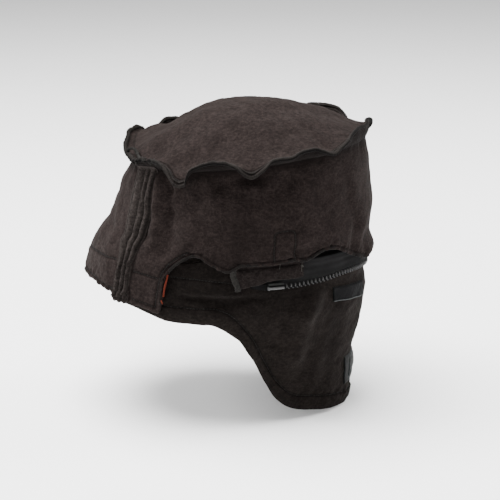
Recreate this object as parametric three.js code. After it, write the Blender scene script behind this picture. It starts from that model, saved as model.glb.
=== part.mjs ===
import * as THREE from "three";

// Helmet liner in fleece, worn form. Millimetres, +Z up, forehead toward -Y,
// wearer's left toward +X. The origin is the inside of the crown's top.
// Angle t goes round the head: 0 forehead, 90 wearer's left, 180 nape.

// Driving dimensions
const CLOTH = 2.0;
const GAP = 0.35;
const HEM_THICK = 3.6;
const CROWN_FALL = 30.5;
const CROWN_TILT = Math.tan(THREE.MathUtils.degToRad(6.5));
const CROWN_ROUND = 1.92;
const FLANGE_THICK = 2.4;
const BEAD_HALF = 1.35;
const BEAD_WIDE = 2.2;
const FLAP_HEM_THICK = 3.2;
const TAPE_THICK = 1.0;
const TOOTH_PITCH = 3.8;
const TOOTH_REACH = 2.7;
const TOOTH_ROOT = 1.0;
const FACING_THICK = 1.8;
const LABEL_THICK = 1.0;
const TAG_WIDE = 1.7;

// Outer form of the wall: front, back and half-width reach at a height
const BODY = [
  { z: -20, front: -80, back: 82.2, half: 73.5 },
  { z: -30, front: -81.2, back: 83.5, half: 75 },
  { z: -47, front: -84.2, back: 85.2, half: 77 },
  { z: -64, front: -92.6, back: 87.2, half: 79 },
  { z: -78, front: -99.6, back: 88.6, half: 80.2 },
  { z: -86, front: -103.1, back: 88.2, half: 81 },
  { z: -92, front: -108.5, back: 87.6, half: 81.3 },
  { z: -103, front: -115, back: 88, half: 82 },
  { z: -111, front: -118.4, back: 88, half: 82.4 },
  { z: -124, front: -121.5, back: 88, half: 83 },
  { z: -136, front: -123, back: 87.4, half: 83 },
];

// Outer form of the neck flap
const FLAP = [
  { z: -96, front: -107, back: 83, half: 77 },
  { z: -104, front: -110.5, back: 83.6, half: 77.8 },
  { z: -118, front: -114.6, back: 83.8, half: 78.4 },
  { z: -123, front: -115.8, back: 83.9, half: 78.5 },
  { z: -130, front: -117, back: 85.3, half: 78.5 },
  { z: -136, front: -117.8, back: 85.6, half: 78.2 },
  { z: -148, front: -117.6, back: 84, half: 76.5 },
  { z: -160, front: -115, back: 81.8, half: 73.5 },
  { z: -172, front: -111, back: 79.2, half: 69.5 },
  { z: -181, front: -105, back: 77.4, half: 66 },
  { z: -190, front: -98, back: 76.1, half: 62.5 },
  { z: -198, front: -92, back: 75.7, half: 60 },
  { z: -208, front: -87, back: 74.8, half: 58 },
  { z: -216, front: -84, back: 75.3, half: 56 },
  { z: -228, front: -81, back: 74, half: 54 },
];

// Wavy flange round the crown: lift from the horizontal, width with the thread
const FLANGE = [
  { t: 0, lift: 84, wide: 15 },
  { t: 8, lift: 70, wide: 13 },
  { t: 12, lift: 62, wide: 11.5 },
  { t: 16, lift: 54, wide: 10.5 },
  { t: 20, lift: 46, wide: 9.5 },
  { t: 24, lift: 40, wide: 9 },
  { t: 28, lift: 38, wide: 9 },
  { t: 32, lift: 42, wide: 9 },
  { t: 36, lift: 52, wide: 9 },
  { t: 40, lift: 54, wide: 9 },
  { t: 44, lift: 47, wide: 9 },
  { t: 48, lift: 28, wide: 9.5 },
  { t: 51, lift: -8, wide: 10.5 },
  { t: 53.5, lift: -28, wide: 13.5 },
  { t: 56, lift: -44, wide: 17 },
  { t: 58.5, lift: -56, wide: 18 },
  { t: 60.8, lift: -56, wide: 17 },
  { t: 62.6, lift: -28, wide: 16.5 },
  { t: 64.5, lift: 4, wide: 16 },
  { t: 67, lift: 20, wide: 15 },
  { t: 70, lift: 29, wide: 14 },
  { t: 74, lift: 34, wide: 13.5 },
  { t: 78, lift: 32, wide: 13 },
  { t: 82.7, lift: 15, wide: 13 },
  { t: 90, lift: -51, wide: 14 },
  { t: 94.7, lift: -13, wide: 13 },
  { t: 99, lift: 20, wide: 13 },
  { t: 107, lift: 24, wide: 13 },
  { t: 112, lift: 38, wide: 13 },
  { t: 117, lift: 45, wide: 13 },
  { t: 121, lift: 28, wide: 13 },
  { t: 127.5, lift: 2, wide: 13 },
  { t: 131.8, lift: 22, wide: 13 },
  { t: 139.7, lift: 60, wide: 13 },
  { t: 147, lift: 80, wide: 13 },
  { t: 154.5, lift: 94, wide: 12.5 },
  { t: 161, lift: 98, wide: 11.5 },
  { t: 168, lift: 102, wide: 10 },
  { t: 180, lift: 102, wide: 9 },
  { t: 188, lift: 70, wide: 9 },
  { t: 194, lift: 20, wide: 11 },
  { t: 200, lift: -38, wide: 12 },
  { t: 212, lift: -50, wide: 12 },
  { t: 217, lift: -24, wide: 12.5 },
  { t: 221, lift: 12, wide: 14 },
  { t: 225, lift: 52, wide: 14 },
  { t: 230, lift: 72, wide: 14 },
  { t: 239, lift: 82, wide: 14 },
  { t: 246, lift: 40, wide: 13 },
  { t: 254, lift: 0, wide: 13 },
  { t: 262, lift: 35, wide: 13 },
  { t: 272, lift: -10, wide: 13 },
  { t: 284, lift: 30, wide: 13 },
  { t: 294, lift: -5, wide: 13 },
  { t: 302, lift: 30, wide: 13 },
  { t: 310, lift: 75, wide: 16 },
  { t: 315, lift: 77, wide: 17 },
  { t: 321, lift: 70, wide: 14 },
  { t: 326, lift: 55, wide: 14 },
  { t: 331, lift: 71, wide: 15.5 },
  { t: 339, lift: 84, wide: 18.5 },
  { t: 346, lift: 80, wide: 18 },
  { t: 352, lift: 80, wide: 16.5 },
  { t: 360, lift: 84, wide: 15 },
];

// Where the front panel meets the side cloth, by height
const SEAM_LINE = [
  { z: -36, t: 35.3 },
  { z: -51, t: 37 },
  { z: -64, t: 39.6 },
  { z: -79, t: 42.2 },
  { z: -89, t: 44 },
  { z: -104, t: 46.3 },
  { z: -136, t: 46.3 },
];

// Lower edge of the front panel
const FRONT_EDGE = [
  { t: 0, z: -126.3 },
  { t: 9, z: -125.2 },
  { t: 23, z: -124.4 },
  { t: 30, z: -125.7 },
  { t: 36, z: -126.9 },
  { t: 46.3, z: -130.2 },
];

// Lower edge of the side and back cloth: tab, ear arch, facing, rear rise, nape
const WALL_EDGE = [
  { t: 46.3, z: -130.2 },
  { t: 51, z: -131.6 },
  { t: 56, z: -133.0 },
  { t: 60, z: -134.5 },
  { t: 63.1, z: -136 },
  { t: 64.1, z: -135.2 },
  { t: 64.4, z: -130 },
  { t: 64.5, z: -120 },
  { t: 64.8, z: -110.5 },
  { t: 66.2, z: -105 },
  { t: 68.3, z: -100.6 },
  { t: 70.8, z: -97.2 },
  { t: 73.7, z: -94.9 },
  { t: 76.6, z: -95.2 },
  { t: 79.3, z: -97.6 },
  { t: 83.3, z: -101.2 },
  { t: 86.5, z: -103.6 },
  { t: 89.4, z: -105.2 },
  { t: 91.4, z: -103.6 },
  { t: 94.2, z: -100.9 },
  { t: 99.6, z: -100.4 },
  { t: 105.2, z: -100.2 },
  { t: 111.4, z: -99.6 },
  { t: 116, z: -98.9 },
  { t: 119.6, z: -100.2 },
  { t: 122.8, z: -99.4 },
  { t: 126, z: -97 },
  { t: 129.5, z: -94.8 },
  { t: 133, z: -94.2 },
  { t: 137, z: -95.2 },
  { t: 142.2, z: -98.5 },
  { t: 147.8, z: -102.2 },
  { t: 153.4, z: -105.7 },
  { t: 159.4, z: -108.8 },
  { t: 166, z: -110.4 },
  { t: 173, z: -111 },
  { t: 180, z: -111.2 },
];

// Neck flap: upper edge, hem line and lower edge
const FLAP_LINES = [
  { t: 37, top: -108, hem: -124, edge: -131.4 },
  { t: 39, top: -107.5, hem: -125.2, edge: -134.2 },
  { t: 43, top: -107, hem: -126, edge: -135 },
  { t: 50, top: -105.5, hem: -126.8, edge: -135.9 },
  { t: 59.4, top: -103.5, hem: -130.4, edge: -140 },
  { t: 65.3, top: -102.4, hem: -132.7, edge: -142.6 },
  { t: 71.7, top: -102.1, hem: -133.2, edge: -143.8 },
  { t: 77.9, top: -99.8, hem: -133.4, edge: -143.6 },
  { t: 83, top: -97.8, hem: -133.7, edge: -143.9 },
  { t: 87.9, top: -99.5, hem: -135.4, edge: -146.7 },
  { t: 90.9, top: -105.5, hem: -137.4, edge: -150.2 },
  { t: 91.6, top: -111, hem: -138.4, edge: -151.3 },
  { t: 93, top: -113.8, hem: -139.9, edge: -153.4 },
  { t: 95.6, top: -115.6, hem: -144.5, edge: -157.7 },
  { t: 98.4, top: -116.4, hem: -150.3, edge: -165.6 },
  { t: 100.9, top: -117.4, hem: -157, edge: -173.4 },
  { t: 102.4, top: -119.6, hem: -162, edge: -183.5 },
  { t: 103.7, top: -120.3, hem: -167, edge: -194.2 },
  { t: 105.7, top: -120.4, hem: -176, edge: -202.1 },
  { t: 109.3, top: -120.4, hem: -193.5, edge: -209.7 },
  { t: 113.8, top: -120.4, hem: -202.4, edge: -215 },
  { t: 119.2, top: -120.1, hem: -207.6, edge: -218.4 },
  { t: 126.8, top: -119.4, hem: -209.6, edge: -220.4 },
  { t: 132, top: -118.9, hem: -210.8, edge: -221.4 },
  { t: 138, top: -118.3, hem: -212.4, edge: -222.4 },
  { t: 146, top: -117.9, hem: -213.9, edge: -223.4 },
  { t: 154, top: -118.2, hem: -215.4, edge: -224.2 },
  { t: 158.6, top: -118.6, hem: -216.2, edge: -224.6 },
  { t: 163, top: -118.9, hem: -216.8, edge: -224.9 },
  { t: 168, top: -119.5, hem: -217.3, edge: -225 },
  { t: 174, top: -120.5, hem: -217.5, edge: -225 },
  { t: 180, top: -121.3, hem: -217.6, edge: -225 },
];

// Height of the middle of the tooth row
const TOOTH_LINE = [
  { t: 104, z: -118.2 },
  { t: 113.5, z: -118.2 },
  { t: 124.5, z: -117.6 },
  { t: 133, z: -116.9 },
  { t: 143.5, z: -115.9 },
  { t: 152, z: -116.1 },
  { t: 158.4, z: -116.6 },
  { t: 165, z: -117 },
  { t: 180, z: -119.3 },
];

// Facing strip between wall and zip: its edges and the set-back of each row
const FACING_LINES = [
  { t: 91.5, top: -97.2, low: -106.2 },
  { t: 92.1, top: -97.2, low: -110.8 },
  { t: 93.3, top: -97.2, low: -115.5 },
  { t: 94.9, top: -97.2, low: -116.6 },
  { t: 99, top: -97, low: -115.4 },
  { t: 103.3, top: -96.8, low: -113.9 },
  { t: 106, top: -96.6, low: -112 },
  { t: 112, top: -96.2, low: -111.6 },
  { t: 117, top: -95.8, low: -111.5 },
  { t: 118.8, top: -96.6, low: -110.8 },
];

// Folds in the cloth: a line from t, z to t2, z2, with its width and height
const WALL_FOLDS = [
  { t: 71, z: -56, t2: 99, z2: -67, wide: 8, high: 1.2 },
  { t: 56.4, z: -50, t2: 59, z2: -90, wide: 6, high: -1.6 },
  { t: 148.6, z: -80, t2: 147.9, z2: -104, wide: 4.5, high: -2.0 },
  { t: 156, z: -86, t2: 155.5, z2: -108, wide: 5, high: 1.6 },
  { t: 164, z: -105.5, t2: 196, z2: -105.5, wide: 6, high: 3.2 },
  { t: 166, z: -72, t2: 196, z2: -74, wide: 8, high: 0.9 },
];
const FLAP_FOLDS = [
  { t: 130, z: -124, t2: 124.1, z2: -141.7, wide: 6, high: 1.6 },
  { t: 124.1, z: -141.7, t2: 121.3, z2: -175, wide: 6, high: 1.8 },
  { t: 121.3, z: -175, t2: 114, z2: -195, wide: 6, high: 1.4 },
  { t: 138, z: -126, t2: 135, z2: -140, wide: 5, high: 1.2 },
  { t: 70.8, z: -119, t2: 88, z2: -129.5, wide: 6, high: -1.8 },
  { t: 88, z: -129.5, t2: 104.7, z2: -120, wide: 7, high: -2.2 },
  { t: 146, z: -145, t2: 138, z2: -200, wide: 9, high: -1.2 },
];

// Smooth value of a named column at a place along a table, without overshoot
function column(table, key, name, at) {
  const up = table[table.length - 1][key] > table[0][key];
  const rows = up ? table : [...table].reverse();
  const last = rows.length - 1;
  if (at <= rows[0][key]) {
    return rows[0][name];
  }
  if (at >= rows[last][key]) {
    return rows[last][name];
  }
  let i = 0;
  while (rows[i + 1][key] < at) {
    i += 1;
  }
  const slope = (j) => {
    if (j < 0 || j >= last) {
      return 0;
    }
    return (rows[j + 1][name] - rows[j][name]) / (rows[j + 1][key] - rows[j][key]);
  };
  const here = slope(i);
  const bend = (a, b) => (a * b <= 0 ? 0 : (2 * a * b) / (a + b));
  const m0 = i === 0 ? here : bend(slope(i - 1), here);
  const m1 = i === last - 1 ? here : bend(here, slope(i + 1));
  const span = rows[i + 1][key] - rows[i][key];
  const u = (at - rows[i][key]) / span;
  const u2 = u * u;
  const u3 = u2 * u;
  const a = (2 * u3 - 3 * u2 + 1) * rows[i][name];
  const b = (u3 - 2 * u2 + u) * span * m0;
  const c = (3 * u2 - 2 * u3) * rows[i + 1][name];
  const d = (u3 - u2) * span * m1;
  return a + b + c + d;
}

function mirrored(t) {
  const turn = ((t % 360) + 360) % 360;
  return turn > 180 ? 360 - turn : turn;
}

function smooth(from, to, x) {
  const u = Math.min(1, Math.max(0, (x - from) / (to - from)));
  return u * u * (3 - 2 * u);
}

// Height of the folds at a place on the cloth
function folds(list, t, z) {
  const m = mirrored(t);
  let sum = 0;
  for (const f of list) {
    const ax = (f.t2 - f.t) * 1.5;
    const az = f.z2 - f.z;
    const px = (m - f.t) * 1.5;
    const pz = z - f.z;
    const u = Math.min(1, Math.max(0, (px * ax + pz * az) / (ax * ax + az * az)));
    const away = Math.hypot(px - u * ax, pz - u * az) / f.wide;
    sum += f.high * Math.exp(-away * away);
  }
  return sum;
}

// Plan ellipse of a form at a height, and the point and outward direction on it
function plan(form, z) {
  const front = column(form, "z", "front", z);
  const back = column(form, "z", "back", z);
  return {
    half: column(form, "z", "half", z),
    deep: (back - front) / 2,
    mid: (back + front) / 2,
  };
}

function outward(form, t, z) {
  const e = plan(form, z);
  const a = THREE.MathUtils.degToRad(t);
  return new THREE.Vector3(e.deep * Math.sin(a), -e.half * Math.cos(a), 0).normalize();
}

function onForm(form, t, z, out) {
  const e = plan(form, z);
  const a = THREE.MathUtils.degToRad(t);
  const p = new THREE.Vector3(e.half * Math.sin(a), e.mid - e.deep * Math.cos(a), z);
  return p.addScaledVector(outward(form, t, z), out);
}

function wallPoint(t, z, out) {
  return onForm(BODY, t, z, out + folds(WALL_FOLDS, t, z));
}

function flapPoint(t, z, out) {
  const calm = smooth(-121.5, -127, z);
  return onForm(FLAP, t, z, out + calm * folds(FLAP_FOLDS, t, z));
}

// Height of the crown seam at an angle: a plane that rises to the back
function seamHeight(t) {
  let z = -CROWN_FALL;
  for (let i = 0; i < 8; i += 1) {
    z = -CROWN_FALL + CROWN_TILT * onForm(BODY, t, z, 0).y;
  }
  return z;
}

// Mesh from triangles of points, joined where points agree, turned to face out
function solid(name, triangles, color, rough) {
  const keys = new Map();
  const places = [];
  const index = [];
  const add = (p) => {
    const key = [p.x, p.y, p.z].map((v) => Math.round(v * 10000)).join(",");
    if (!keys.has(key)) {
      keys.set(key, keys.size);
      places.push(p.x, p.y, p.z);
    }
    return keys.get(key);
  };
  let volume = 0;
  for (const [a, b, c] of triangles) {
    const i = add(a);
    const j = add(b);
    const k = add(c);
    if (i !== j && j !== k && k !== i) {
      index.push(i, j, k);
      volume += a.dot(new THREE.Vector3().crossVectors(b, c));
    }
  }
  if (volume < 0) {
    index.reverse();
  }
  const geometry = new THREE.BufferGeometry();
  geometry.setAttribute("position", new THREE.Float32BufferAttribute(places, 3));
  geometry.setIndex(index);
  geometry.computeVertexNormals();
  const material = new THREE.MeshStandardMaterial({ color, roughness: rough, metalness: 0 });
  const mesh = new THREE.Mesh(geometry, material);
  mesh.name = name;
  return mesh;
}

function quad(list, a, b, c, d) {
  list.push([a, b, c], [a, c, d]);
}

// Shell between an outer and an inner surface. Each station is a list of
// [outer, inner] pairs; a looped shell closes on its first station.
function shell(name, stations, loop, color, rough) {
  const list = [];
  const count = stations.length;
  const rows = stations[0].length;
  const steps = loop ? count : count - 1;
  for (let s = 0; s < steps; s += 1) {
    const here = stations[s];
    const next = stations[(s + 1) % count];
    for (let k = 0; k < rows - 1; k += 1) {
      quad(list, here[k][0], next[k][0], next[k + 1][0], here[k + 1][0]);
      quad(list, here[k + 1][1], next[k + 1][1], next[k][1], here[k][1]);
    }
    quad(list, here[0][1], next[0][1], next[0][0], here[0][0]);
    quad(list, here[rows - 1][0], next[rows - 1][0], next[rows - 1][1], here[rows - 1][1]);
  }
  if (!loop) {
    for (let k = 0; k < rows - 1; k += 1) {
      const a = stations[0];
      const b = stations[count - 1];
      quad(list, a[k][0], a[k + 1][0], a[k + 1][1], a[k][1]);
      quad(list, b[k][1], b[k + 1][1], b[k + 1][0], b[k][0]);
    }
  }
  return solid(name, list, color, rough);
}

// Sweep of one outline through a row of frames
function sweep(name, frames, outline, loop, color, rough) {
  const rings = frames.map((f) => outline.map(([side, up]) => f.at.clone()
    .addScaledVector(f.side, side).addScaledVector(f.up, up)));
  const list = [];
  const steps = loop ? rings.length : rings.length - 1;
  const sides = outline.length;
  for (let s = 0; s < steps; s += 1) {
    const here = rings[s];
    const next = rings[(s + 1) % rings.length];
    for (let k = 0; k < sides; k += 1) {
      const j = (k + 1) % sides;
      quad(list, here[k], next[k], next[j], here[j]);
    }
  }
  if (!loop) {
    const first = rings[0];
    const final = rings[rings.length - 1];
    for (let k = 1; k < sides - 1; k += 1) {
      list.push([first[0], first[k], first[k + 1]]);
      list.push([final[0], final[k + 1], final[k]]);
    }
  }
  return solid(name, list, color, rough);
}

function spread(from, to, step) {
  const count = Math.max(1, Math.round(Math.abs(to - from) / step));
  return Array.from({ length: count + 1 }, (_, i) => from + ((to - from) * i) / count);
}

function bothSides(list) {
  const far = list.filter((t) => t < 180).map((t) => 360 - t).reverse();
  return [...list, ...far];
}

// Colours of the cloth, thread and hard parts
const FLEECE = 0x4a4140;
const FLEECE_FLAP = 0x463e3c;
const THREAD = 0x33352f;
const FACING = 0x423b39;
const TAPE = 0x4c4b50;
const TEETH = 0x8d8b8a;
const PATCH = 0x3b3f40;
const ORANGE = 0xc4532d;

// Crown: dome rows from the top out to the seam. The flange outside the seam
// takes three steps, and a fine gap along the seam parts the two.
const DOME_ROWS = [0, 0.28, 0.55, 0.8, 1];
const FLANGE_BEND = [0.35, 0.85, 1.2];

function crownStation(t) {
  const seamZ = seamHeight(t);
  const seam = onForm(BODY, t, seamZ, 0);
  const out = outward(BODY, t, seamZ);
  const lift = column(FLANGE, "t", "lift", t);
  const wide = column(FLANGE, "t", "wide", t) - BEAD_WIDE;
  const dome = DOME_ROWS.map((u) => {
    const z = CLOTH + (seamZ - CLOTH) * Math.pow(u, CROWN_ROUND);
    const outer = new THREE.Vector3(seam.x * u, seam.y * u, z);
    const inner = outer.clone();
    inner.z -= CLOTH * (1 + 0.25 * u * u);
    return [outer, inner];
  });
  const flange = [dome[dome.length - 1].map((p) => p.clone().addScaledVector(out, GAP))];
  const angles = FLANGE_BEND.map((share) => THREE.MathUtils.degToRad(lift * share));
  const along = (a) => out.clone().multiplyScalar(Math.cos(a)).setZ(Math.sin(a));
  const below = (a) => out.clone().multiplyScalar(Math.sin(a)).setZ(-Math.cos(a));
  let at = seam;
  for (let i = 0; i < 3; i += 1) {
    at = at.clone().addScaledVector(along(angles[i]), wide / 3);
    const mean = i < 2 ? (angles[i] + angles[i + 1]) / 2 : angles[i];
    flange.push([at, at.clone().addScaledVector(below(mean), FLANGE_THICK)]);
  }
  return { dome, flange, side: along(angles[2]), up: below(angles[2]).negate() };
}

const CROWN_AT = [
  ...spread(0, 30, 5).slice(0, -1),
  ...spread(30, 101, 3.55).slice(0, -1),
  ...spread(101, 166, 5).slice(0, -1),
  ...spread(166, 216, 5).slice(0, -1),
  ...spread(216, 236, 3.3).slice(0, -1),
  ...spread(236, 300, 5.4).slice(0, -1),
  ...spread(300, 360, 5).slice(0, -1),
];
const crownStations = CROWN_AT.map(crownStation);
const crown = shell("crown", crownStations.map((s) => s.dome), true, FLEECE, 0.95);
const flange = shell("crown_flange", crownStations.map((s) => s.flange), true, FLEECE, 0.95);

// Overlock thread: a rounded bead standing off the cloth edge
const BEAD = [
  [GAP + 0.2, -BEAD_HALF],
  [GAP + BEAD_WIDE * 0.6, -BEAD_HALF * 1.05],
  [GAP + BEAD_WIDE, 0],
  [GAP + BEAD_WIDE * 0.6, BEAD_HALF * 1.05],
  [GAP + 0.2, BEAD_HALF],
];
const crownRim = crownStations.map((s) => {
  const end = s.flange[s.flange.length - 1];
  return end[0].clone().lerp(end[1], 0.5);
});
const crownEdge = sweep("crown_edge", crownStations.map((s, i) => {
  const count = crownRim.length;
  const run = crownRim[(i + 1) % count].clone().sub(crownRim[(i + count - 1) % count]);
  run.normalize();
  const side = s.side.clone().addScaledVector(run, -s.side.dot(run)).normalize();
  const up = new THREE.Vector3().crossVectors(side, run);
  return { at: crownRim[i], side, up: up.multiplyScalar(Math.sign(up.dot(s.up))) };
}), BEAD, true, THREAD, 0.8);

// Wall rows, as shares of the height from the crown seam to the lower edge
const WALL_ROWS = [0, 0.18, 0.38, 0.56, 0.74, 0.92, 1];

function wallThickness(t, z) {
  const m = mirrored(t);
  if (m > 65.5) {
    return CLOTH;
  }
  return CLOTH + (HEM_THICK - CLOTH) * smooth(-103.5, -108, z);
}

// The cloth leans with the front seam, and the lean fades away from it
function leaned(t, z) {
  const m = mirrored(t);
  const sign = t > 180 ? -1 : 1;
  const base = t > 180 ? 360 : 0;
  const shift = column(SEAM_LINE, "z", "t", z) - 46.3;
  const share = m <= 46.3 ? m / 46.3 : Math.max(0, (64 - m) / 17.7);
  return base + sign * (m + shift * share);
}

function wallStation(t, low, trim) {
  const top = seamHeight(leaned(t, -38)) - FLANGE_THICK - 0.9;
  return WALL_ROWS.map((share) => {
    const z = top + (low - top) * share;
    const at = leaned(t, z) + trim;
    const seat = share === 0 ? CLOTH + 0.6 : wallThickness(t, z);
    return [wallPoint(at, z, 0), wallPoint(at, z, share === 0 ? -CLOTH : -seat)];
  });
}

const FRONT_AT = [0, 5, 10, 15, 20, 25, 30, 35, 40, 46.3];
const frontAll = [...FRONT_AT.slice(1).reverse().map((t) => -t), ...FRONT_AT];
const frontPanel = shell("front_panel", frontAll.map((t) => {
  const m = Math.abs(t);
  const low = column(FRONT_EDGE, "t", "z", m);
  const trim = m > 46 ? -0.12 : 0;
  const pairs = wallStation(m, low, trim);
  return t < 0 ? pairs.map((p) => p.map((v) => new THREE.Vector3(-v.x, v.y, v.z))) : pairs;
}), false, FLEECE, 0.95);

const sideAt = bothSides(WALL_EDGE.map((row) => row.t));
const sideStations = sideAt.map((t) => {
  const m = mirrored(t);
  const trim = m < 46.5 ? (t > 180 ? -0.12 : 0.12) : 0;
  return wallStation(t, column(WALL_EDGE, "t", "z", m), trim);
});
const sideWall = shell("side_back_wall", sideStations, false, FLEECE, 0.95);

// Bead along an edge: the frame points away from the cloth in its surface
function edgeFrames(points, normals) {
  return points.map((p, i) => {
    const before = points[Math.max(0, i - 1)];
    const after = points[Math.min(points.length - 1, i + 1)];
    const run = after.clone().sub(before).normalize();
    const side = new THREE.Vector3().crossVectors(run, normals[i]).normalize();
    const up = new THREE.Vector3().crossVectors(side, run).normalize();
    return { at: p, side, up: up.multiplyScalar(Math.sign(up.dot(normals[i]))) };
  });
}

const edgeAt = sideAt.filter((t) => mirrored(t) > 66);
const wallEdge = sweep("wall_edge", edgeFrames(
  edgeAt.map((t) => {
    const pair = sideStations[sideAt.indexOf(t)][WALL_ROWS.length - 1];
    return pair[0].clone().lerp(pair[1], 0.5);
  }),
  edgeAt.map((t) => outward(BODY, t, -100)),
), BEAD, false, THREAD, 0.8);

// Front seam bands: overlocked allowance with three ridges, outside the wall
const BAND_LINE = [
  { z: -42, mid: 33, half: 8 },
  { z: -58, mid: 33.9, half: 7.5 },
  { z: -71.5, mid: 37.7, half: 7.3 },
  { z: -85, mid: 39.4, half: 6.6 },
  { z: -98, mid: 42.9, half: 4.4 },
  { z: -110, mid: 44.4, half: 3.8 },
  { z: -124, mid: 45.2, half: 3.7 },
];
const BAND_PROFILE = [
  { share: -1, high: 0.8 },
  { share: -0.55, high: 1.9 },
  { share: -0.1, high: 1.1 },
  { share: 0.2, high: 2.2 },
  { share: 0.5, high: 1.1 },
  { share: 0.77, high: 2.8 },
  { share: 1, high: 0.8 },
];

function seamBand(name, sign) {
  const wallTop = seamHeight(leaned(46.3, -38)) - FLANGE_THICK - 0.9;
  const low = column(WALL_EDGE, "t", "z", 46.3);
  const wallRows = WALL_ROWS.map((share) => wallTop + (low - wallTop) * share);
  const place = (share, z, out) => {
    const half = column(BAND_LINE, "z", "half", z);
    return wallPoint(column(BAND_LINE, "z", "mid", z) + half * share, z, out);
  };
  const over = (share, z, out) => {
    let k = 0;
    while (k < wallRows.length - 2 && wallRows[k + 1] > z) {
      k += 1;
    }
    const u = (z - wallRows[k]) / (wallRows[k + 1] - wallRows[k]);
    return place(share, wallRows[k], out).lerp(place(share, wallRows[k + 1], out), u);
  };
  const heights = [wallTop - 4, (wallTop + wallRows[1]) / 2 - 2];
  for (let k = 1; k < wallRows.length; k += 1) {
    heights.push(wallRows[k]);
    if (k + 1 < wallRows.length - 1) {
      heights.push((wallRows[k] + wallRows[k + 1]) / 2);
    }
  }
  const stations = heights.map((z, i) => BAND_PROFILE.map((p) => {
    const ripple = 1 + 0.12 * Math.sin(i * 1.9 + p.share * 2);
    const pair = [over(p.share, z, GAP + p.high * ripple), over(p.share, z, GAP)];
    return pair.map((v) => new THREE.Vector3(v.x * sign, v.y, v.z));
  }));
  return shell(name, stations, false, THREAD, 0.9);
}

// Inner facing along the forehead, showing just under the front hem
const facingFront = shell("front_facing", frontAll.filter((t) => Math.abs(t) < 36).map((t) => {
  const m = Math.abs(t);
  const low = column(FRONT_EDGE, "t", "z", m) - 2.6;
  const pairs = [-106, -114, -121, low].map((z) => {
    const out = -HEM_THICK - 0.45;
    const x = Math.sign(t) || 1;
    return [out, out - FACING_THICK].map((o) => {
      const p = onForm(BODY, m, z, o);
      return new THREE.Vector3(p.x * x, p.y, p.z);
    });
  });
  return pairs;
}), false, FLEECE_FLAP, 0.95);

// Facing strips above the zip, with a rolled overlocked front end
function zipperFacing(name, far) {
  const stations = FACING_LINES.map((row, i) => {
    const t = far ? 360 - row.t : row.t;
    const roll = i < 3 ? 1.3 : 0;
    const heights = [row.top, Math.max(row.low + 0.6, -103.9), (row.low - 103.9) / 2, row.low];
    const sunk = [-2.9, -2.9, -1.8, -1.0];
    return heights.map((z, k) => {
      const lift = k > 1 ? roll * 0.7 : 0;
      const height = k === 2 ? Math.min(z, heights[1] - 0.3) : z;
      const out = i < 1 ? sunk[0] : sunk[k] + (i < 2 ? -0.2 : lift);
      return [onForm(BODY, t, height, out), onForm(BODY, t, height, out - CLOTH - 0.1)];
    });
  });
  return shell(name, far ? stations.reverse() : stations, false, FACING, 0.95);
}

// Zip: woven tape, the tooth row on its lower edge, an end piece on each side
const TAPE_AT = bothSides([103.6, 107, 112, 118, 124, 130, 136, 142, 148, 154, 160, 166, 173, 180]);
const tape = shell("zipper_tape", TAPE_AT.map((t) => {
  const teeth = column(TOOTH_LINE, "t", "z", mirrored(t));
  const rows = [[-101, -5.3], [-106.5, -5.3], [-111.8, -4.3], [teeth - 1.4, -4.0]];
  return rows.map(([z, out]) => [
    onForm(BODY, t, z, out),
    onForm(BODY, t, z, out - TAPE_THICK),
  ]);
}), false, TAPE, 0.75);

// Angles at equal steps of length along the tooth row
function toothAngles(from, to, step) {
  const found = [from];
  let t = from;
  let gone = 0;
  let last = onForm(BODY, t, -117, 0);
  while (t < to) {
    t += 0.05;
    const next = onForm(BODY, t, -117, 0);
    gone += next.distanceTo(last);
    last = next;
    if (gone >= step) {
      gone -= step;
      found.push(t);
    }
  }
  return found;
}

const TOOTH_SHAPE = [
  { share: 0, low: -TOOTH_ROOT, high: TOOTH_REACH },
  { share: 0.46, low: -TOOTH_ROOT, high: TOOTH_REACH },
  { share: 0.6, low: -TOOTH_REACH, high: TOOTH_ROOT },
  { share: 0.86, low: -TOOTH_REACH, high: TOOTH_ROOT },
];
const roots = toothAngles(113.7, 246.3, TOOTH_PITCH);
const toothStations = roots.slice(0, -1).flatMap((t, i) => TOOTH_SHAPE.map((shape) => {
  const at = t + (roots[i + 1] - t) * shape.share;
  const z = column(TOOTH_LINE, "t", "z", mirrored(at));
  const pair = (height) => [onForm(BODY, at, height, -0.9), onForm(BODY, at, height, -3.6)];
  return [pair(z + shape.high), pair(z + shape.low)];
}));
const teeth = shell("zipper_teeth", toothStations, false, TEETH, 0.5);

// End piece of the tooth row: a small box and a plain pin
const END_SHAPE = [
  { t: 104.6, tall: 2.3 },
  { t: 106.0, tall: 2.3 },
  { t: 106.2, tall: 1.1 },
  { t: 109.6, tall: 1.1 },
  { t: 113.3, tall: 1.1 },
];

function zipperEnd(name, far) {
  const stations = END_SHAPE.map((row) => {
    const t = far ? 360 - row.t : row.t;
    const z = column(TOOTH_LINE, "t", "z", row.t);
    return [z + row.tall, z - row.tall].map((height) => [
      onForm(BODY, t, height, -1.0),
      onForm(BODY, t, height, -3.3),
    ]);
  });
  return shell(name, stations, false, TEETH, 0.45);
}

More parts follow.
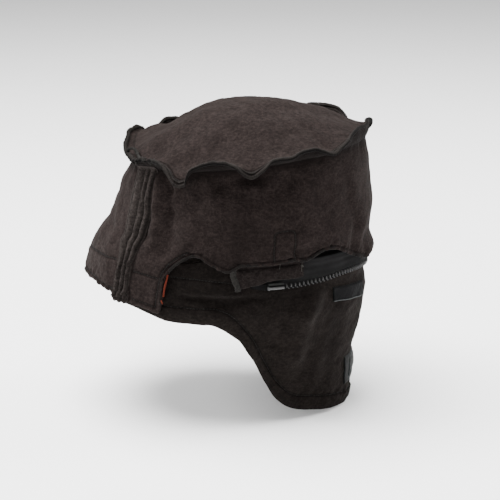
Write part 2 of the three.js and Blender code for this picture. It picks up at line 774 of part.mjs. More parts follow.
// Neck flap: rows down to the hem line, then the thicker hem
const FLAP_ROWS = [0, 0.14, 0.34, 0.64, 0.97];
const flapAt = bothSides(FLAP_LINES.map((row) => row.t));
const flapRows = flapAt.map((t) => {
  const m = mirrored(t);
  const top = column(FLAP_LINES, "t", "top", m);
  const hem = column(FLAP_LINES, "t", "hem", m);
  const edge = column(FLAP_LINES, "t", "edge", m);
  const rows = FLAP_ROWS.map((share) => [top + (hem - top) * share, 0]);
  rows.push([hem + (edge - hem) * 0.14, 1], [edge, 1]);
  return rows;
});
const extra = FLAP_HEM_THICK - CLOTH;
const flap = shell("neck_flap", flapRows.map((rows, s) => rows.map(([z, hem]) => [
  flapPoint(flapAt[s], z, hem * 0.45),
  flapPoint(flapAt[s], z, -CLOTH - hem * (extra - 0.45)),
])), false, FLEECE_FLAP, 0.95);

// Point over the flap's own flat faces, at one of its stations
function overFlap(t, z, out) {
  const s = flapAt.indexOf(t);
  const rows = flapRows[s];
  let k = 0;
  while (k < rows.length - 2 && rows[k + 1][0] > z) {
    k += 1;
  }
  const u = (z - rows[k][0]) / (rows[k + 1][0] - rows[k][0]);
  const a = flapPoint(t, rows[k][0], rows[k][1] * 0.45 + out);
  return a.lerp(flapPoint(t, rows[k + 1][0], rows[k + 1][1] * 0.45 + out), u);
}

function sewnOn(name, ats, top, low, color) {
  return shell(name, ats.map((t) => [0, 0.5, 1].map((share) => {
    const m = mirrored(t);
    const z = top(m) + (low(m) - top(m)) * share;
    return [overFlap(t, z, GAP + LABEL_THICK), overFlap(t, z, GAP)];
  })), false, color, 0.9);
}

const patchTop = (m) => -125.4 - (m - 138) * 0.13;
const patchLow = (m) => -135.4 - (m - 138) * 0.16;
const PATCH_AT = [138, 146, 154, 158.6, 163];
const patchLeft = sewnOn("nape_patch_left", PATCH_AT, patchTop, patchLow, PATCH);
const patchRight = sewnOn("nape_patch_right", PATCH_AT.map((t) => 360 - t).reverse(),
  patchTop, patchLow, PATCH);
const label = sewnOn("nape_label", bothSides([158.6, 163, 168, 174, 180]),
  () => -188.6, () => -210, PATCH);

// Narrow loop tag standing out of the tab's rear edge
const tag = shell("side_tag", [0, 1].map((end) => spread(-110, -124.5, 5).map((z) => {
  const edge = 65.15 - (-110 - z) * 0.02;
  const at = edge + (end * TAG_WIDE) / 1.7;
  return [onForm(BODY, at, z, -0.9), onForm(BODY, at, z, -2.5)];
})), false, ORANGE, 0.6);

const part = new THREE.Group();
part.name = "helmet_liner";
part.add(
  crown,
  flange,
  crownEdge,
  frontPanel,
  sideWall,
  wallEdge,
  seamBand("left_front_seam", 1),
  seamBand("right_front_seam", -1),
  facingFront,
  zipperFacing("zipper_facing_left", false),
  zipperFacing("zipper_facing_right", true),
  tape,
  teeth,
  zipperEnd("zipper_end_left", false),
  zipperEnd("zipper_end_right", true),
  flap,
  patchLeft,
  patchRight,
  label,
  tag,
);

export default part;
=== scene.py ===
import math

import bmesh
import bpy
import numpy as np
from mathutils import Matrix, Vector


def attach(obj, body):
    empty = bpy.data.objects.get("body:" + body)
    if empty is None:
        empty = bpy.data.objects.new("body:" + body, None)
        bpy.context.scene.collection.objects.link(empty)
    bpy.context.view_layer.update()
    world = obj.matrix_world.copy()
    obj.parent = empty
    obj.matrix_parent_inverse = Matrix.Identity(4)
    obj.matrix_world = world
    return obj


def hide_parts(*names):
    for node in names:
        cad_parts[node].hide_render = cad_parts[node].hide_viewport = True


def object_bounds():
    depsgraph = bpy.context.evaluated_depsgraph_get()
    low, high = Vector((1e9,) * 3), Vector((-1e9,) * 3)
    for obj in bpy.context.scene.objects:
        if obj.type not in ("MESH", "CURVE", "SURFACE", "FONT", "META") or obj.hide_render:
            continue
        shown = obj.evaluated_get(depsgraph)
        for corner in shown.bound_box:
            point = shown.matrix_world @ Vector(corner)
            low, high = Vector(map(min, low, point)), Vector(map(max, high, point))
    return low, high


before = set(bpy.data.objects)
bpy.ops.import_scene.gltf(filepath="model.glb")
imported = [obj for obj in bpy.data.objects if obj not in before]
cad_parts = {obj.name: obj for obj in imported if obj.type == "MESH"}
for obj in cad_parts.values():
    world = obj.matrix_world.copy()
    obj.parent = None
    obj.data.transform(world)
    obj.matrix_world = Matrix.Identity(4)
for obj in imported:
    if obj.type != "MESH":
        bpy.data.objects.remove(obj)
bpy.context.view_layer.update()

# Lengths are in millimetres until a mesh is made. Angle t goes round the head:
# 0 forehead, 90 wearer's left, 180 nape. m is the same angle without its side.
MM = 0.001
CLOTH = 2.0
HEM_THICK = 3.6
CROWN_FALL = 30.5
CROWN_TILT = math.tan(math.radians(6.5))
CROWN_ROUND = 1.92
FLANGE_THICK = 2.4
FLAP_HEM_LIFT = 0.45
FLAP_HEM_THICK = 3.2
TOOTH_PITCH = 3.8
SIDE_LEAN = 46.3
DEGREE = 1.45
FOLD_DEGREE = 1.5
UP = np.array([0, 0, 1.0])
# Tops of the pieces that start behind the wall
FRONT_FACING_TOP = -106
FACING_TOP = -97
TAPE_TOP = -93.5
# Heights between which the flap leaves the zip
FLAP_HELD = (-121.5, -127)
# Angles where pieces start on each side
FLAP_START = 37
TAPE_START = 99.5
TEETH_START = 113.7
TAPE_BELOW_TEETH = 1.4

# z, front, back, half width
BODY = [
    (-20, -80, 82.2, 73.5), (-30, -82, 84.4, 75), (-47, -86.4, 86.6, 77),
    (-64, -93.2, 87.8, 79), (-78, -99.6, 88.6, 80.2), (-86, -103.1, 88.2, 81),
    (-92, -108.5, 87.6, 81.3), (-103, -115, 88, 82), (-111, -118.4, 88, 82.4),
    (-124, -121.5, 88, 83), (-136, -123, 87.4, 83),
]
FLAP = [
    (-96, -107, 83, 77), (-104, -110.5, 83.6, 77.8), (-118, -114.6, 83.8, 78.4),
    (-123, -115.8, 83.9, 78.5), (-130, -117, 85.3, 78.5), (-136, -117.8, 85.6, 78.2),
    (-148, -117.6, 84, 76.5), (-160, -115, 81.8, 73.5), (-172, -111, 79.2, 69.5),
    (-181, -105, 77.4, 66), (-190, -98, 76.1, 62.5), (-198, -92, 75.7, 60),
    (-208, -87, 74.8, 58), (-216, -84, 75.3, 56), (-228, -81, 74, 54),
]
# t, lift from the horizontal in degrees, width with the thread
FLANGE = [
    (0, 85, 13.6), (8, 72, 11.8), (12, 63, 10.6), (16, 54, 10), (20, 46, 9.5), (24, 40, 9),
    (28, 38, 9), (32, 42, 9), (36, 52, 9), (40, 54, 9), (44, 47, 9), (48, 28, 9.5),
    (51, -8, 10.5), (53.5, -28, 13.5), (56, -44, 17), (58.5, -56, 18), (60.8, -56, 17),
    (62.6, -28, 16.5), (64.5, 4, 16), (67, 20, 15), (70, 29, 14), (74, 34, 13.5),
    (78, 32, 13), (82.7, 15, 13), (90, -51, 14), (94.7, -13, 13), (99, 20, 13),
    (107, 24, 13), (112, 38, 13), (117, 45, 13), (121, 28, 13), (127.5, 2, 13),
    (131.8, 22, 13), (139.7, 60, 13), (147, 80, 13), (154.5, 94, 11),
    (161, 98, 9.5), (168, 102, 8), (180, 102, 7.5), (188, 70, 8), (194, 20, 11),
    (200, -38, 12), (212, -50, 12), (217, -24, 12.5), (221, 12, 14), (225, 52, 14),
    (230, 72, 14), (239, 82, 14), (246, 40, 13), (254, 0, 13), (262, 35, 13),
    (272, -10, 13), (284, 30, 13), (294, -5, 13), (302, 30, 13), (310, 75, 16),
    (315, 77, 17), (318, 52, 14.6), (321, 36, 13), (326, 32, 13), (331, 66, 15.5), (339, 84, 18.5),
    (346, 80, 18), (352, 82, 15.4), (360, 85, 13.6),
]
SEAM_LINE = [
    (-36, 35.3), (-51, 37), (-64, 39.6), (-79, 42.2), (-89, 44), (-104, 46.3),
    (-136, 46.3),
]
FRONT_EDGE = [
    (0, -126.3), (9, -125.2), (23, -124.4), (30, -125.7), (36, -126.9), (46.3, -130.2),
]
WALL_EDGE = [
    (46.3, -130.2), (51, -131.6), (56, -133), (60, -134.5), (63.1, -136),
    (64.1, -135.2), (64.4, -130), (64.5, -120), (64.8, -110.5), (66.2, -105),
    (68.3, -100.6), (70.8, -97.2), (73.7, -94.9), (76.6, -95.2), (79.3, -97.6),
    (83.3, -101.2), (86.5, -103.6), (89.4, -105.2), (91.4, -103.6), (94.2, -100.9),
    (99.6, -100.4), (105.2, -100.2), (111.4, -99.6), (116, -98.9), (119.6, -100.2),
    (122.8, -99.4), (126, -97), (129.5, -94.8), (133, -94.2), (137, -95.2),
    (142.2, -98.5), (147.8, -102.2), (153.4, -105.7), (159.4, -108.8),
    (166, -110.4), (173, -111), (180, -111.2),
]
# t, top, hem line, lower edge
FLAP_LINES = [
    (37, -108, -124, -131.4), (39, -107.5, -125.2, -134.2), (43, -107, -126, -135),
    (50, -105.5, -126.8, -135.9), (59.4, -103.5, -130.4, -140),
    (65.3, -102.4, -132.7, -142.6), (71.7, -102.1, -133.2, -143.8),
    (77.9, -99.8, -133.4, -143.6), (83, -97.8, -133.7, -143.9),
    (87.9, -99.5, -135.4, -146.7), (90.9, -105.5, -137.4, -150.2),
    (91.6, -111, -138.4, -151.3), (93, -113.8, -139.9, -153.4),
    (95.6, -115.6, -144.5, -157.7), (98.4, -116.4, -150.3, -165.6),
    (100.9, -117.4, -157, -173.4), (102.4, -119.6, -162, -183.5),
    (103.7, -120.3, -167, -194.2), (105.7, -120.4, -176, -202.1),
    (109.3, -120.4, -193.5, -209.7), (113.8, -120.4, -202.4, -215),
    (119.2, -120.1, -207.6, -218.4), (126.8, -119.4, -209.6, -220.4),
    (132, -118.9, -210.8, -221.4), (138, -118.3, -212.4, -222.4),
    (146, -117.9, -213.9, -223.4), (154, -118.2, -215.4, -224.2),
    (158.6, -118.6, -216.2, -224.6), (163, -118.9, -216.8, -224.9),
    (168, -119.5, -217.3, -225), (174, -120.5, -217.5, -225), (180, -121.3, -217.6, -225),
]
TOOTH_LINE = [
    (104, -118.2), (113.5, -118.2), (124.5, -117.6), (133, -116.9), (143.5, -115.9),
    (152, -116.1), (158.4, -116.6), (165, -117), (180, -119.3),
]
# t, how far the zip stands out
ZIP_OUT = [(0, 0), (150, 0), (172, 1.4), (180, 1.4)]
# Folds: t, z, t2, z2, width, height
WALL_FOLDS = [
    (71, -56, 99, -67, 8, 1.2), (56.4, -50, 59, -90, 6, -1.6),
    (148.6, -80, 147.9, -104, 4.5, -2.0), (156, -86, 155.5, -108, 5, 1.6),
    (164, -105.5, 196, -105.5, 6, 3.2), (166, -72, 196, -74, 8, 0.9),
]
FLAP_FOLDS = [
    (130, -124, 124.1, -141.7, 6, 1.6), (124.1, -141.7, 121.3, -175, 6, 1.8),
    (121.3, -175, 114, -195, 6, 1.4), (138, -126, 135, -140, 5, 1.2),
    (70.8, -119, 88, -129.5, 6, -1.8), (88, -129.5, 104.7, -120, 7, -2.2),
    (146, -145, 138, -200, 9, -1.2),
]
# Finer folds
WALL_CREASES = [
    (66, -52, 62, -72, 5, -0.8), (80, -50, 74, -62, 5, 0.7), (92, -54, 97, -74, 6, -0.9),
    (112, -52, 118, -66, 7, 0.7), (128, -50, 132, -72, 6, -0.8), (142, -52, 146, -76, 4, -0.8),
    (84, -84, 96, -92, 8, 0.6), (120, -84, 136, -88, 7, 0.7), (52, -70, 52, -100, 3, 0.5),
    (24, -48, 18, -88, 8, -0.8), (8, -60, 6, -96, 9, 0.7), (32, -60, 36, -92, 4, -0.5),
    (68, -86, 64, -100, 5, 0.6), (150, -60, 160, -84, 6, 0.8), (0, -53, 14, -52, 9, 1.0),
    (41.5, -46, 46.5, -64, 3, 2.0), (46.5, -64, 50, -80, 3.6, 1.8), (50, -80, 53, -92, 4, 1.0),
    (46.5, -42, 50.5, -54, 4, -3.2), (50.5, -54, 54.5, -70, 5, -2.8), (54.5, -70, 61.5, -93, 5, -2.2),
    (57, -47, 61, -42, 5, -3.0), (87, -41, 94, -41, 4, -2.5),
    (64, -62, 68, -84, 5, 1.0), (74, -50, 68, -62, 6, -1.2), (76, -84, 92, -90, 7, -1.4),
    (104, -46, 108, -60, 7, -1.2), (9, -44, 5, -62, 4, 0.9), (5, -56, 18, -80, 4, 0.8),
    (36, -60, 30, -100, 3, -0.5), (71, -42, 75, -54, 5, 1.6),
]
FLAP_CREASES = [
    (96, -132, 103, -150, 5, 0.7), (108, -128, 104, -146, 5, -0.7),
    (112, -168, 106, -190, 6, -0.6), (129, -150, 128, -190, 5, -0.7),
    (150, -128, 152, -160, 6, 0.3), (158, -150, 156, -200, 7, -0.6),
    (68, -122, 60, -130, 4, 0.5), (142, -205, 118, -200, 6, 0.6),
    (130, -119, 121.5, -141, 7.5, 2.0), (121.5, -141, 117.5, -172, 8, 1.6),
    (117.5, -172, 111, -196, 6, 1.0), (138, -130, 133, -170, 7, -1.4),
    (119, -126, 110, -158, 7, -2.0), (75, -124, 92, -130.5, 7, -1.6), (100, -119, 92, -126, 5, -1.0),
]


def curve(rows, value=1):
    """Smooth monotone function through a table's first column and one of its values."""
    xs, ys = np.array(sorted(rows), float).T[[0, value]]
    rise = np.diff(ys) / np.diff(xs)
    slope = np.zeros(len(xs))
    a, b = rise[:-1], rise[1:]
    same = a * b > 0
    slope[1:-1][same] = 2 * a[same] * b[same] / (a[same] + b[same])
    slope[0], slope[-1] = rise[0], rise[-1]

    def at(x):
        x = np.clip(x, xs[0], xs[-1])
        i = np.clip(np.searchsorted(xs, x, side="right") - 1, 0, len(xs) - 2)
        span = xs[i + 1] - xs[i]
        u = (x - xs[i]) / span
        start = (2 * u**3 - 3 * u**2 + 1) * ys[i] + (u**3 - 2 * u**2 + u) * span * slope[i]
        return start + (3 * u**2 - 2 * u**3) * ys[i + 1] + (u**3 - u**2) * span * slope[i + 1]

    return at


def smooth(start, end, x):
    u = np.clip((x - start) / (end - start), 0, 1)
    return u * u * (3 - 2 * u)


def bell(x, width):
    return np.exp(-(x / width) ** 2)


def column(count):
    return np.linspace(0, 1, count)[:, None]


def mirrored(t):
    turn = np.mod(t, 360)
    return np.where(turn > 180, 360 - turn, turn)


def unit(v):
    return v / np.maximum(np.linalg.norm(v, axis=-1, keepdims=True), 1e-9)


def heading(path):
    """Direction of a path at each of its points."""
    return unit(np.gradient(path, axis=0))


def turned(v, towards):
    """Directions v, turned round where they point away from the other directions."""
    return v * np.sign((v * towards).sum(-1, keepdims=True))


def form(rows):
    return [curve(rows, k) for k in (1, 2, 3)]


body_form, flap_form = form(BODY), form(FLAP)
seam_t = curve(SEAM_LINE)
front_low, wall_low = curve(FRONT_EDGE), curve(WALL_EDGE)
flap_top, flap_hem, flap_low = [curve(FLAP_LINES, k) for k in (1, 2, 3)]
tooth_z = curve(TOOTH_LINE)
flange_lift, flange_wide = curve(FLANGE, 1), curve(FLANGE, 2)
zip_out = curve(ZIP_OUT)


def outward(shape, t, z):
    t, z = np.broadcast_arrays(t, z)
    front, back, half = [f(z) for f in shape]
    a = np.radians(t)
    return unit(np.stack([(back - front) / 2 * np.sin(a), -half * np.cos(a), 0 * a], -1))


def on_form(shape, t, z, out):
    t, z = np.broadcast_arrays(t, z)
    front, back, half = [f(z) for f in shape]
    a = np.radians(t)
    middle = (back + front) / 2 - (back - front) / 2 * np.cos(a)
    p = np.stack([half * np.sin(a), middle, z + 0 * a], -1)
    return p + outward(shape, t, z) * np.asarray(out + 0 * a)[..., None]


def on_body(t, z, out):
    return on_form(body_form, t, z, out)


def off_body(t, z):
    return outward(body_form, t, z)


def folds(rows, t, z):
    m = mirrored(t)
    total = np.zeros(np.shape(m + z))
    for t1, z1, t2, z2, wide, high in rows:
        ax, az = (t2 - t1) * FOLD_DEGREE, z2 - z1
        px, pz = (m - t1) * FOLD_DEGREE, z - z1
        u = np.clip((px * ax + pz * az) / (ax * ax + az * az), 0, 1)
        away = np.hypot(px - u * ax, pz - u * az) / wide
        total += high * np.exp(-away * away)
    return total


def wall_folds(t, z):
    return folds(WALL_FOLDS, t, z)


WAVES = 10


def wobble(p, size, seed):
    """Smooth random height, about -1 to 1, with bumps about size apart."""
    rng = np.random.default_rng(seed)
    k = unit(rng.normal(size=(WAVES, 3))) * rng.uniform(0.6, 1.6, (WAVES, 1))
    phase = rng.uniform(0, 2 * math.pi, WAVES)
    return np.sin(p @ (k.T * 2 * math.pi / size) + phase).sum(-1) * 0.75 / math.sqrt(WAVES / 2)


def to_line(points, t, z):
    """Distance on the cloth to a line of (t, z) points, in mm."""
    best = np.full(np.shape(t + z), 1e9)
    line = [(a * DEGREE, b) for a, b in points]
    px, pz = t * DEGREE, z
    for (x1, z1), (x2, z2) in zip(line[:-1], line[1:]):
        ax, az = x2 - x1, z2 - z1
        u = np.clip(((px - x1) * ax + (pz - z1) * az) / (ax * ax + az * az + 1e-9), 0, 1)
        best = np.minimum(best, np.hypot(px - x1 - u * ax, pz - z1 - u * az))
    return best


def resampled(rows, length, at):
    """Values of the rows, which stand at the given lengths, at other lengths."""
    return np.stack([np.interp(at, length, rows[:, k]) for k in range(rows.shape[1])], -1)


def length_along(path):
    return np.concatenate([[0], np.cumsum(np.linalg.norm(np.diff(path, axis=0), axis=1))])


def evenly(rows, step):
    """Rows of x, y, z and more, at equal steps along their path."""
    length = length_along(rows)
    count = max(2, int(round(length[-1] / step)) + 1)
    return resampled(rows, length, np.linspace(0, length[-1], count))


# Lines of stitches on the wall, as (t, z)
FRONT_HEM = [(0, -107.6), (6, -107.2), (12, -106.5), (25, -105.4), (37.6, -104.8)]
TAB_HEM = [(50, -109.9), (56, -111.2), (61.2, -112.4)]
TAB_SIDE = [(70.6, -93.2), (67, -97.2), (64.6, -102), (62.9, -109), (62.6, -120), (62.3, -133)]
TAB_LOW = [(51.5, -129.3), (56, -130.6), (60, -132), (62.3, -133)]
FRONT_LOW = [(0, -123.9), (9, -122.8), (23, -122), (30, -123.3), (35, -124.3), (41, -126)]
PATCH_BOX = [
    (107.1, -98.7), (104.9, -86), (104.1, -80.6), (104.8, -78.6), (107.3, -77.7),
    (111.7, -77.5), (113, -79.6), (114.4, -88), (115.9, -98.4),
]
WALL_STITCHES = [FRONT_HEM, TAB_HEM, TAB_SIDE, TAB_LOW, FRONT_LOW, PATCH_BOX]
# Front seams: an overlocked allowance with three beaded ridges.
# z, then the angles of the dark lines beside the ridges
BAND_LINES = [
    (-40, 24.5, 32.3, 36.5, 40.8), (-50, 25.6, 33.2, 36.8, 40.2), (-58, 27, 34.6, 37.4, 41.2),
    (-65, 28.6, 35.4, 39.6, 43.2), (-72, 30.4, 36.6, 41.4, 45), (-80, 32.2, 37.7, 42.1, 45.7),
    (-88, 34.2, 39, 43.1, 46.3), (-95, 37, 41.3, 44.4, 47.2), (-103, 39.8, 43, 45.5, 47.6),
    (-110, 40.5, 43.5, 46.3, 48.2), (-117, 40.5, 44.1, 46.7, 48.6), (-124, 41.5, 44.4, 46.8, 48.9),
    (-132, 41.8, 44.6, 47, 49.2),
]
BAND_SIDE = [(row[4] + 0.9, row[0]) for row in BAND_LINES]
# The wall's lower edge behind the tab
TAB_END = 64.7
GAP_EDGE = [row for row in WALL_EDGE if row[0] > TAB_END]
# Painted shadow spots under the low places of the flange
PAINTED_SHADOW_SPOTS = [[(56.5, -46), (60, -42)], [(87, -41), (94, -41)]]


def wall_detail(t, z):
    """Extra height of the wall's cloth, and painted shade on it: in stitched lines, along the edge behind
    the tab, beside the seam bands, low on the side over the ear gap and under the low places of the
    flange.
    """
    m = mirrored(t)
    dent_and_painted_shade = np.zeros(np.shape(m + z))
    # Painted shade in the stitched lines, which are also pressed in.
    for line in WALL_STITCHES:
        dent_and_painted_shade = np.maximum(dent_and_painted_shade, bell(to_line(line, m, z), 0.95))
    # Painted shade in a line close along the wall's lower edge behind the tab.
    dent_and_painted_shade = np.maximum(dent_and_painted_shade, 0.9 * bell(to_line(GAP_EDGE, m, z) - 1.7, 0.6))
    # Painted shade beside each seam band, where the wall is also pressed in.
    beside = bell(to_line(BAND_SIDE, m, z), 1.0)
    near_edge = bell(z - np.where(m < SIDE_LEAN, front_low(m), wall_low(m)), 7)
    p = on_body(t, z, 0)
    high = -0.75 * dent_and_painted_shade + folds(WALL_CREASES, t, z)
    high += 0.6 * wobble(p, 34, 11) + 0.16 * wobble(p, 11, 12) + 0.04 * wobble(p, 3.6, 13)
    high += near_edge * (0.4 * wobble(p, 7, 14) + 0.22 * wobble(p, 3.2, 16)) - 0.7 * beside
    top = seam_height(m) - 3.5
    high += np.exp((z - top) / 7) * (0.5 * wobble(p, 9, 15) - 0.4)
    # Painted shade low on the side over the ear gap and under the low places of the flange.
    painted_wall_shade = 0.45 * bell(m - 91, 10) * smooth(-60, -76, z)
    for line in PAINTED_SHADOW_SPOTS:
        painted_wall_shade = np.maximum(painted_wall_shade, 0.95 * bell(to_line(line, m, z), 5))
    return high, np.maximum(np.maximum(dent_and_painted_shade, painted_wall_shade), 0.7 * beside)


def wall_at(t, z, out):
    return on_body(t, z, out + (wall_folds(t, z) + wall_detail(t, z)[0]))


FLAP_BAND = [(66, -111.6), (76.3, -112.1), (91.5, -114.3)]


def flap_detail(t, z):
    m = mirrored(t)
    hem, low = flap_hem(m), flap_low(m)
    degrees = np.arange(0, 181.0)
    tilt = np.abs(np.interp(m, degrees, np.gradient(flap_hem(degrees)))) / DEGREE
    away = np.abs(z - hem) / np.sqrt(1 + tilt**2)
    # Painted shade in the hem's stitched line and along the band's stitched line; both lines are also
    # pressed in.
    dent_and_painted_shade = bell(away, 1.0)
    dent_and_painted_shade = np.maximum(dent_and_painted_shade, bell(to_line(FLAP_BAND, m, z), 1.0))
    p = on_form(flap_form, t, z, 0)
    high = -0.8 * dent_and_painted_shade + folds(FLAP_CREASES, t, z) * smooth(*FLAP_HELD, z)
    high += 0.5 * wobble(p, 30, 21) * smooth(-119, -126, z) + 0.2 * wobble(p, 10, 22)
    high += 0.07 * wobble(p, 3.4, 23)
    high += 0.3 * bell(away, 6) * wobble(p, 6.5, 24)
    in_hem = np.clip((hem - z) / np.maximum(hem - low, 1), 0, 1)
    high += FLAP_HEM_LIFT * smooth(0, 0.14, in_hem) + 0.5 * np.sin(math.pi * in_hem)
    return high, dent_and_painted_shade


def flap_at(t, z, out):
    large = smooth(*FLAP_HELD, z) * folds(FLAP_FOLDS, t, z)
    return on_form(flap_form, t, z, out + (large + flap_detail(t, z)[0]))


def seam_height(t):
    z = np.full(np.shape(t), -CROWN_FALL)
    for _ in range(8):
        z = -CROWN_FALL + CROWN_TILT * on_body(t, z, 0)[..., 1]
    return z


def leaned(t, z):
    m = mirrored(t)
    shift = seam_t(z) - SIDE_LEAN
    share = np.where(m <= SIDE_LEAN, m / SIDE_LEAN, np.maximum(0, (64 - m) / 17.7))
    near = np.abs(t) <= 180
    return np.where(near, np.sign(t + 1e-9), -1) * (m + shift * share) + np.where(near, 0, 360)


FLANGE_ROWS = 28
FLANGE_BEND = ([0, 0.167, 0.5, 0.833, 1], [0.1, 0.35, 0.85, 1.2, 1.25])


def flange_line(t):
    """The flange from the seam to the rim: points, directions below them, lift and width."""
    seam_z = seam_height(t)
    seam = on_body(t, seam_z, 0)
    out = off_body(t, seam_z)
    turn = np.mod(t, 360)
    lift = flange_lift(turn) + 2.5 * wobble(seam, 16, 31)
    wide = flange_wide(turn) - 1.0
    at, points, below = seam, [seam], []
    for k in range(FLANGE_ROWS + 1):
        a = np.radians(lift * np.interp(k / FLANGE_ROWS, *FLANGE_BEND))[..., None]
        below.append(out * np.sin(a) - UP * np.cos(a))
        if k < FLANGE_ROWS:
            a = np.radians(lift * np.interp((k + 0.5) / FLANGE_ROWS, *FLANGE_BEND))[..., None]
            at = at + (out * np.cos(a) + UP * np.sin(a)) * (wide / FLANGE_ROWS)[..., None]
            points.append(at)
    return np.array(points), np.array(below), lift, wide


def eased(rows, crease, soft, reach_in, reach_out):
    """Rows of points, rows x columns, with the crease at one row rounded off."""
    step = np.linalg.norm(np.diff(rows, axis=0), axis=-1)
    gone = np.concatenate([np.zeros((1, rows.shape[1])), np.cumsum(step, axis=0)])
    s = gone - gone[crease]
    amount = smooth(-reach_in, -reach_in * 0.3, s) * smooth(s[-1] - 0.5, s[-1] - reach_out, s)
    width = 0.35 + soft * amount
    weight = np.gradient(gone, axis=0)
    near = np.exp(-0.5 * ((s[:, None] - s[None]) / width[:, None]) ** 2) * weight[None]
    return np.einsum("ijc,jck->ick", near, rows) / near.sum(1)[..., None]


# Meshes


def tidy(mesh):
    """Merges coincident points and turns the faces out."""
    work = bmesh.new()
    work.from_mesh(mesh)
    bmesh.ops.remove_doubles(work, verts=work.verts, dist=1e-6)
    bmesh.ops.recalc_face_normals(work, faces=work.faces)
    work.to_mesh(mesh)
    work.free()


def add_mesh(name, verts, faces, material, replaces=(), uv=None, dent_and_painted_shade=None):
    mesh = bpy.data.meshes.new(name)
    mesh.from_pydata((np.asarray(verts) * MM).tolist(), [], faces)
    mesh.polygons.foreach_set("use_smooth", [True] * len(mesh.polygons))
    if uv is not None:
        layer = mesh.uv_layers.new(name="UVMap")
        index = np.empty(len(mesh.loops), np.int32)
        mesh.loops.foreach_get("vertex_index", index)
        layer.data.foreach_set("uv", (np.asarray(uv)[index] * MM).astype(np.float32).ravel())
    # The point attribute made here holds painted shade: how much each point's colour is darkened as if
    # shaded.
    values = np.zeros(len(verts), np.float32) if dent_and_painted_shade is None else np.asarray(dent_and_painted_shade, np.float32)
    mesh.attributes.new("dent_and_painted_shade", "FLOAT", "POINT").data.foreach_set("value", values)
    mesh.materials.append(material)
    piece = bpy.data.objects.new(name, mesh)
    bpy.context.scene.collection.objects.link(piece)
    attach(piece, "root")
    if replaces:
        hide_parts(*replaces)
    tidy(mesh)


RIM_STEPS = 4


def rim(o, before, i):
    """Rows of a round edge from outer row o to inner row i, away from the row before."""
    middle, up = (o + i) / 2, (o - i) / 2
    half = np.linalg.norm(up, axis=-1, keepdims=True)
    away = o - before
    away = unit(away - up * (away * up).sum(-1, keepdims=True) / half**2)
    angles = np.linspace(0, math.pi, RIM_STEPS + 2)[1:-1]
    return np.stack([middle + up * math.cos(a) + away * half * math.sin(a) for a in angles])


def ring_faces(rows, cols, loop, closed=True):
    """Faces of a grid; both ends are capped where its rows don't close into loops."""
    r = np.arange(rows if closed else rows - 1)[:, None]
    c = np.arange(cols if loop else cols - 1)[None, :]
    r2, c2 = (r + 1) % rows, (c + 1) % cols
    quads = np.stack([r * cols + c, r * cols + c2, r2 * cols + c2, r2 * cols + c], -1)
    faces = quads.reshape(-1, 4).tolist()
    if not loop:
        faces.append([r * cols for r in range(rows)][::-1])
        faces.append([r * cols + cols - 1 for r in range(rows)])
    return faces


def shell(name, outer, inner, material, replaces, loop=False, peak=False, dent_and_painted_shade=None):
    """Closed cloth body between two grids of points, rows x columns, with round edges."""
    parts = [outer, rim(outer[-1], outer[-2], inner[-1]), inner[::-1]]
    if not peak:
        parts.append(rim(inner[0], inner[1], outer[0]))
    grid = np.concatenate(parts)
    along = np.linalg.norm(np.diff(grid, axis=1), axis=-1).max(0)
    down = np.linalg.norm(np.diff(grid, axis=0), axis=-1).mean(1)
    u = np.concatenate([[0], np.cumsum(along)])
    v = np.concatenate([[0], np.cumsum(down)])
    uv = np.stack(np.broadcast_arrays(u[None, :], v[:, None]), -1).reshape(-1, 2)
    values = np.zeros(grid.shape[:2])
    if dent_and_painted_shade is not None:
        values[:len(outer)] = dent_and_painted_shade
    faces = ring_faces(*grid.shape[:2], loop, not peak)
    add_mesh(name, grid.reshape(-1, 3), faces, material, replaces, uv, values.ravel())


RIB_PITCH = 1.25


def overlock(name, path, side, up, seed, inward, reach, half, material, replaces=()):
    """Thread wrapped round a cloth edge, in slanted ribs: side and up are directions on the path."""
    length = length_along(path)
    at = np.linspace(0, length[-1], int(length[-1] / (RIB_PITCH / 5)))
    path, side, up = [resampled(rows, length, at) for rows in (path, side, up)]
    side, up = unit(side), unit(up)
    angles = np.linspace(-0.5 * math.pi, 0.5 * math.pi, 9)
    edge = [(reach - half + half * math.cos(a), half * math.sin(a)) for a in angles]
    flat = np.linspace(0, 1, 5)[1:]
    top = [(reach - half - (reach - half + inward) * f, half * (1 - 0.12 * f)) for f in flat]
    profile = np.array([(x, -y) for x, y in top[::-1]] + edge + top)
    around = np.arange(len(profile))[:, None] / len(profile)
    wave = np.abs(np.sin(math.pi * (at / RIB_PITCH + around * 1.6)))
    uneven = wobble(path, 7, seed) * 0.16 + wobble(path, 2.3, seed + 1) * 0.1
    grid = path + profile[:, 0, None, None] * side + profile[:, 1, None, None] * up
    grid = grid + unit(grid - path) * (0.3 * wave + uneven)[..., None]
    add_mesh(name, grid.reshape(-1, 3), ring_faces(*grid.shape[:2], False), material,
             replaces)


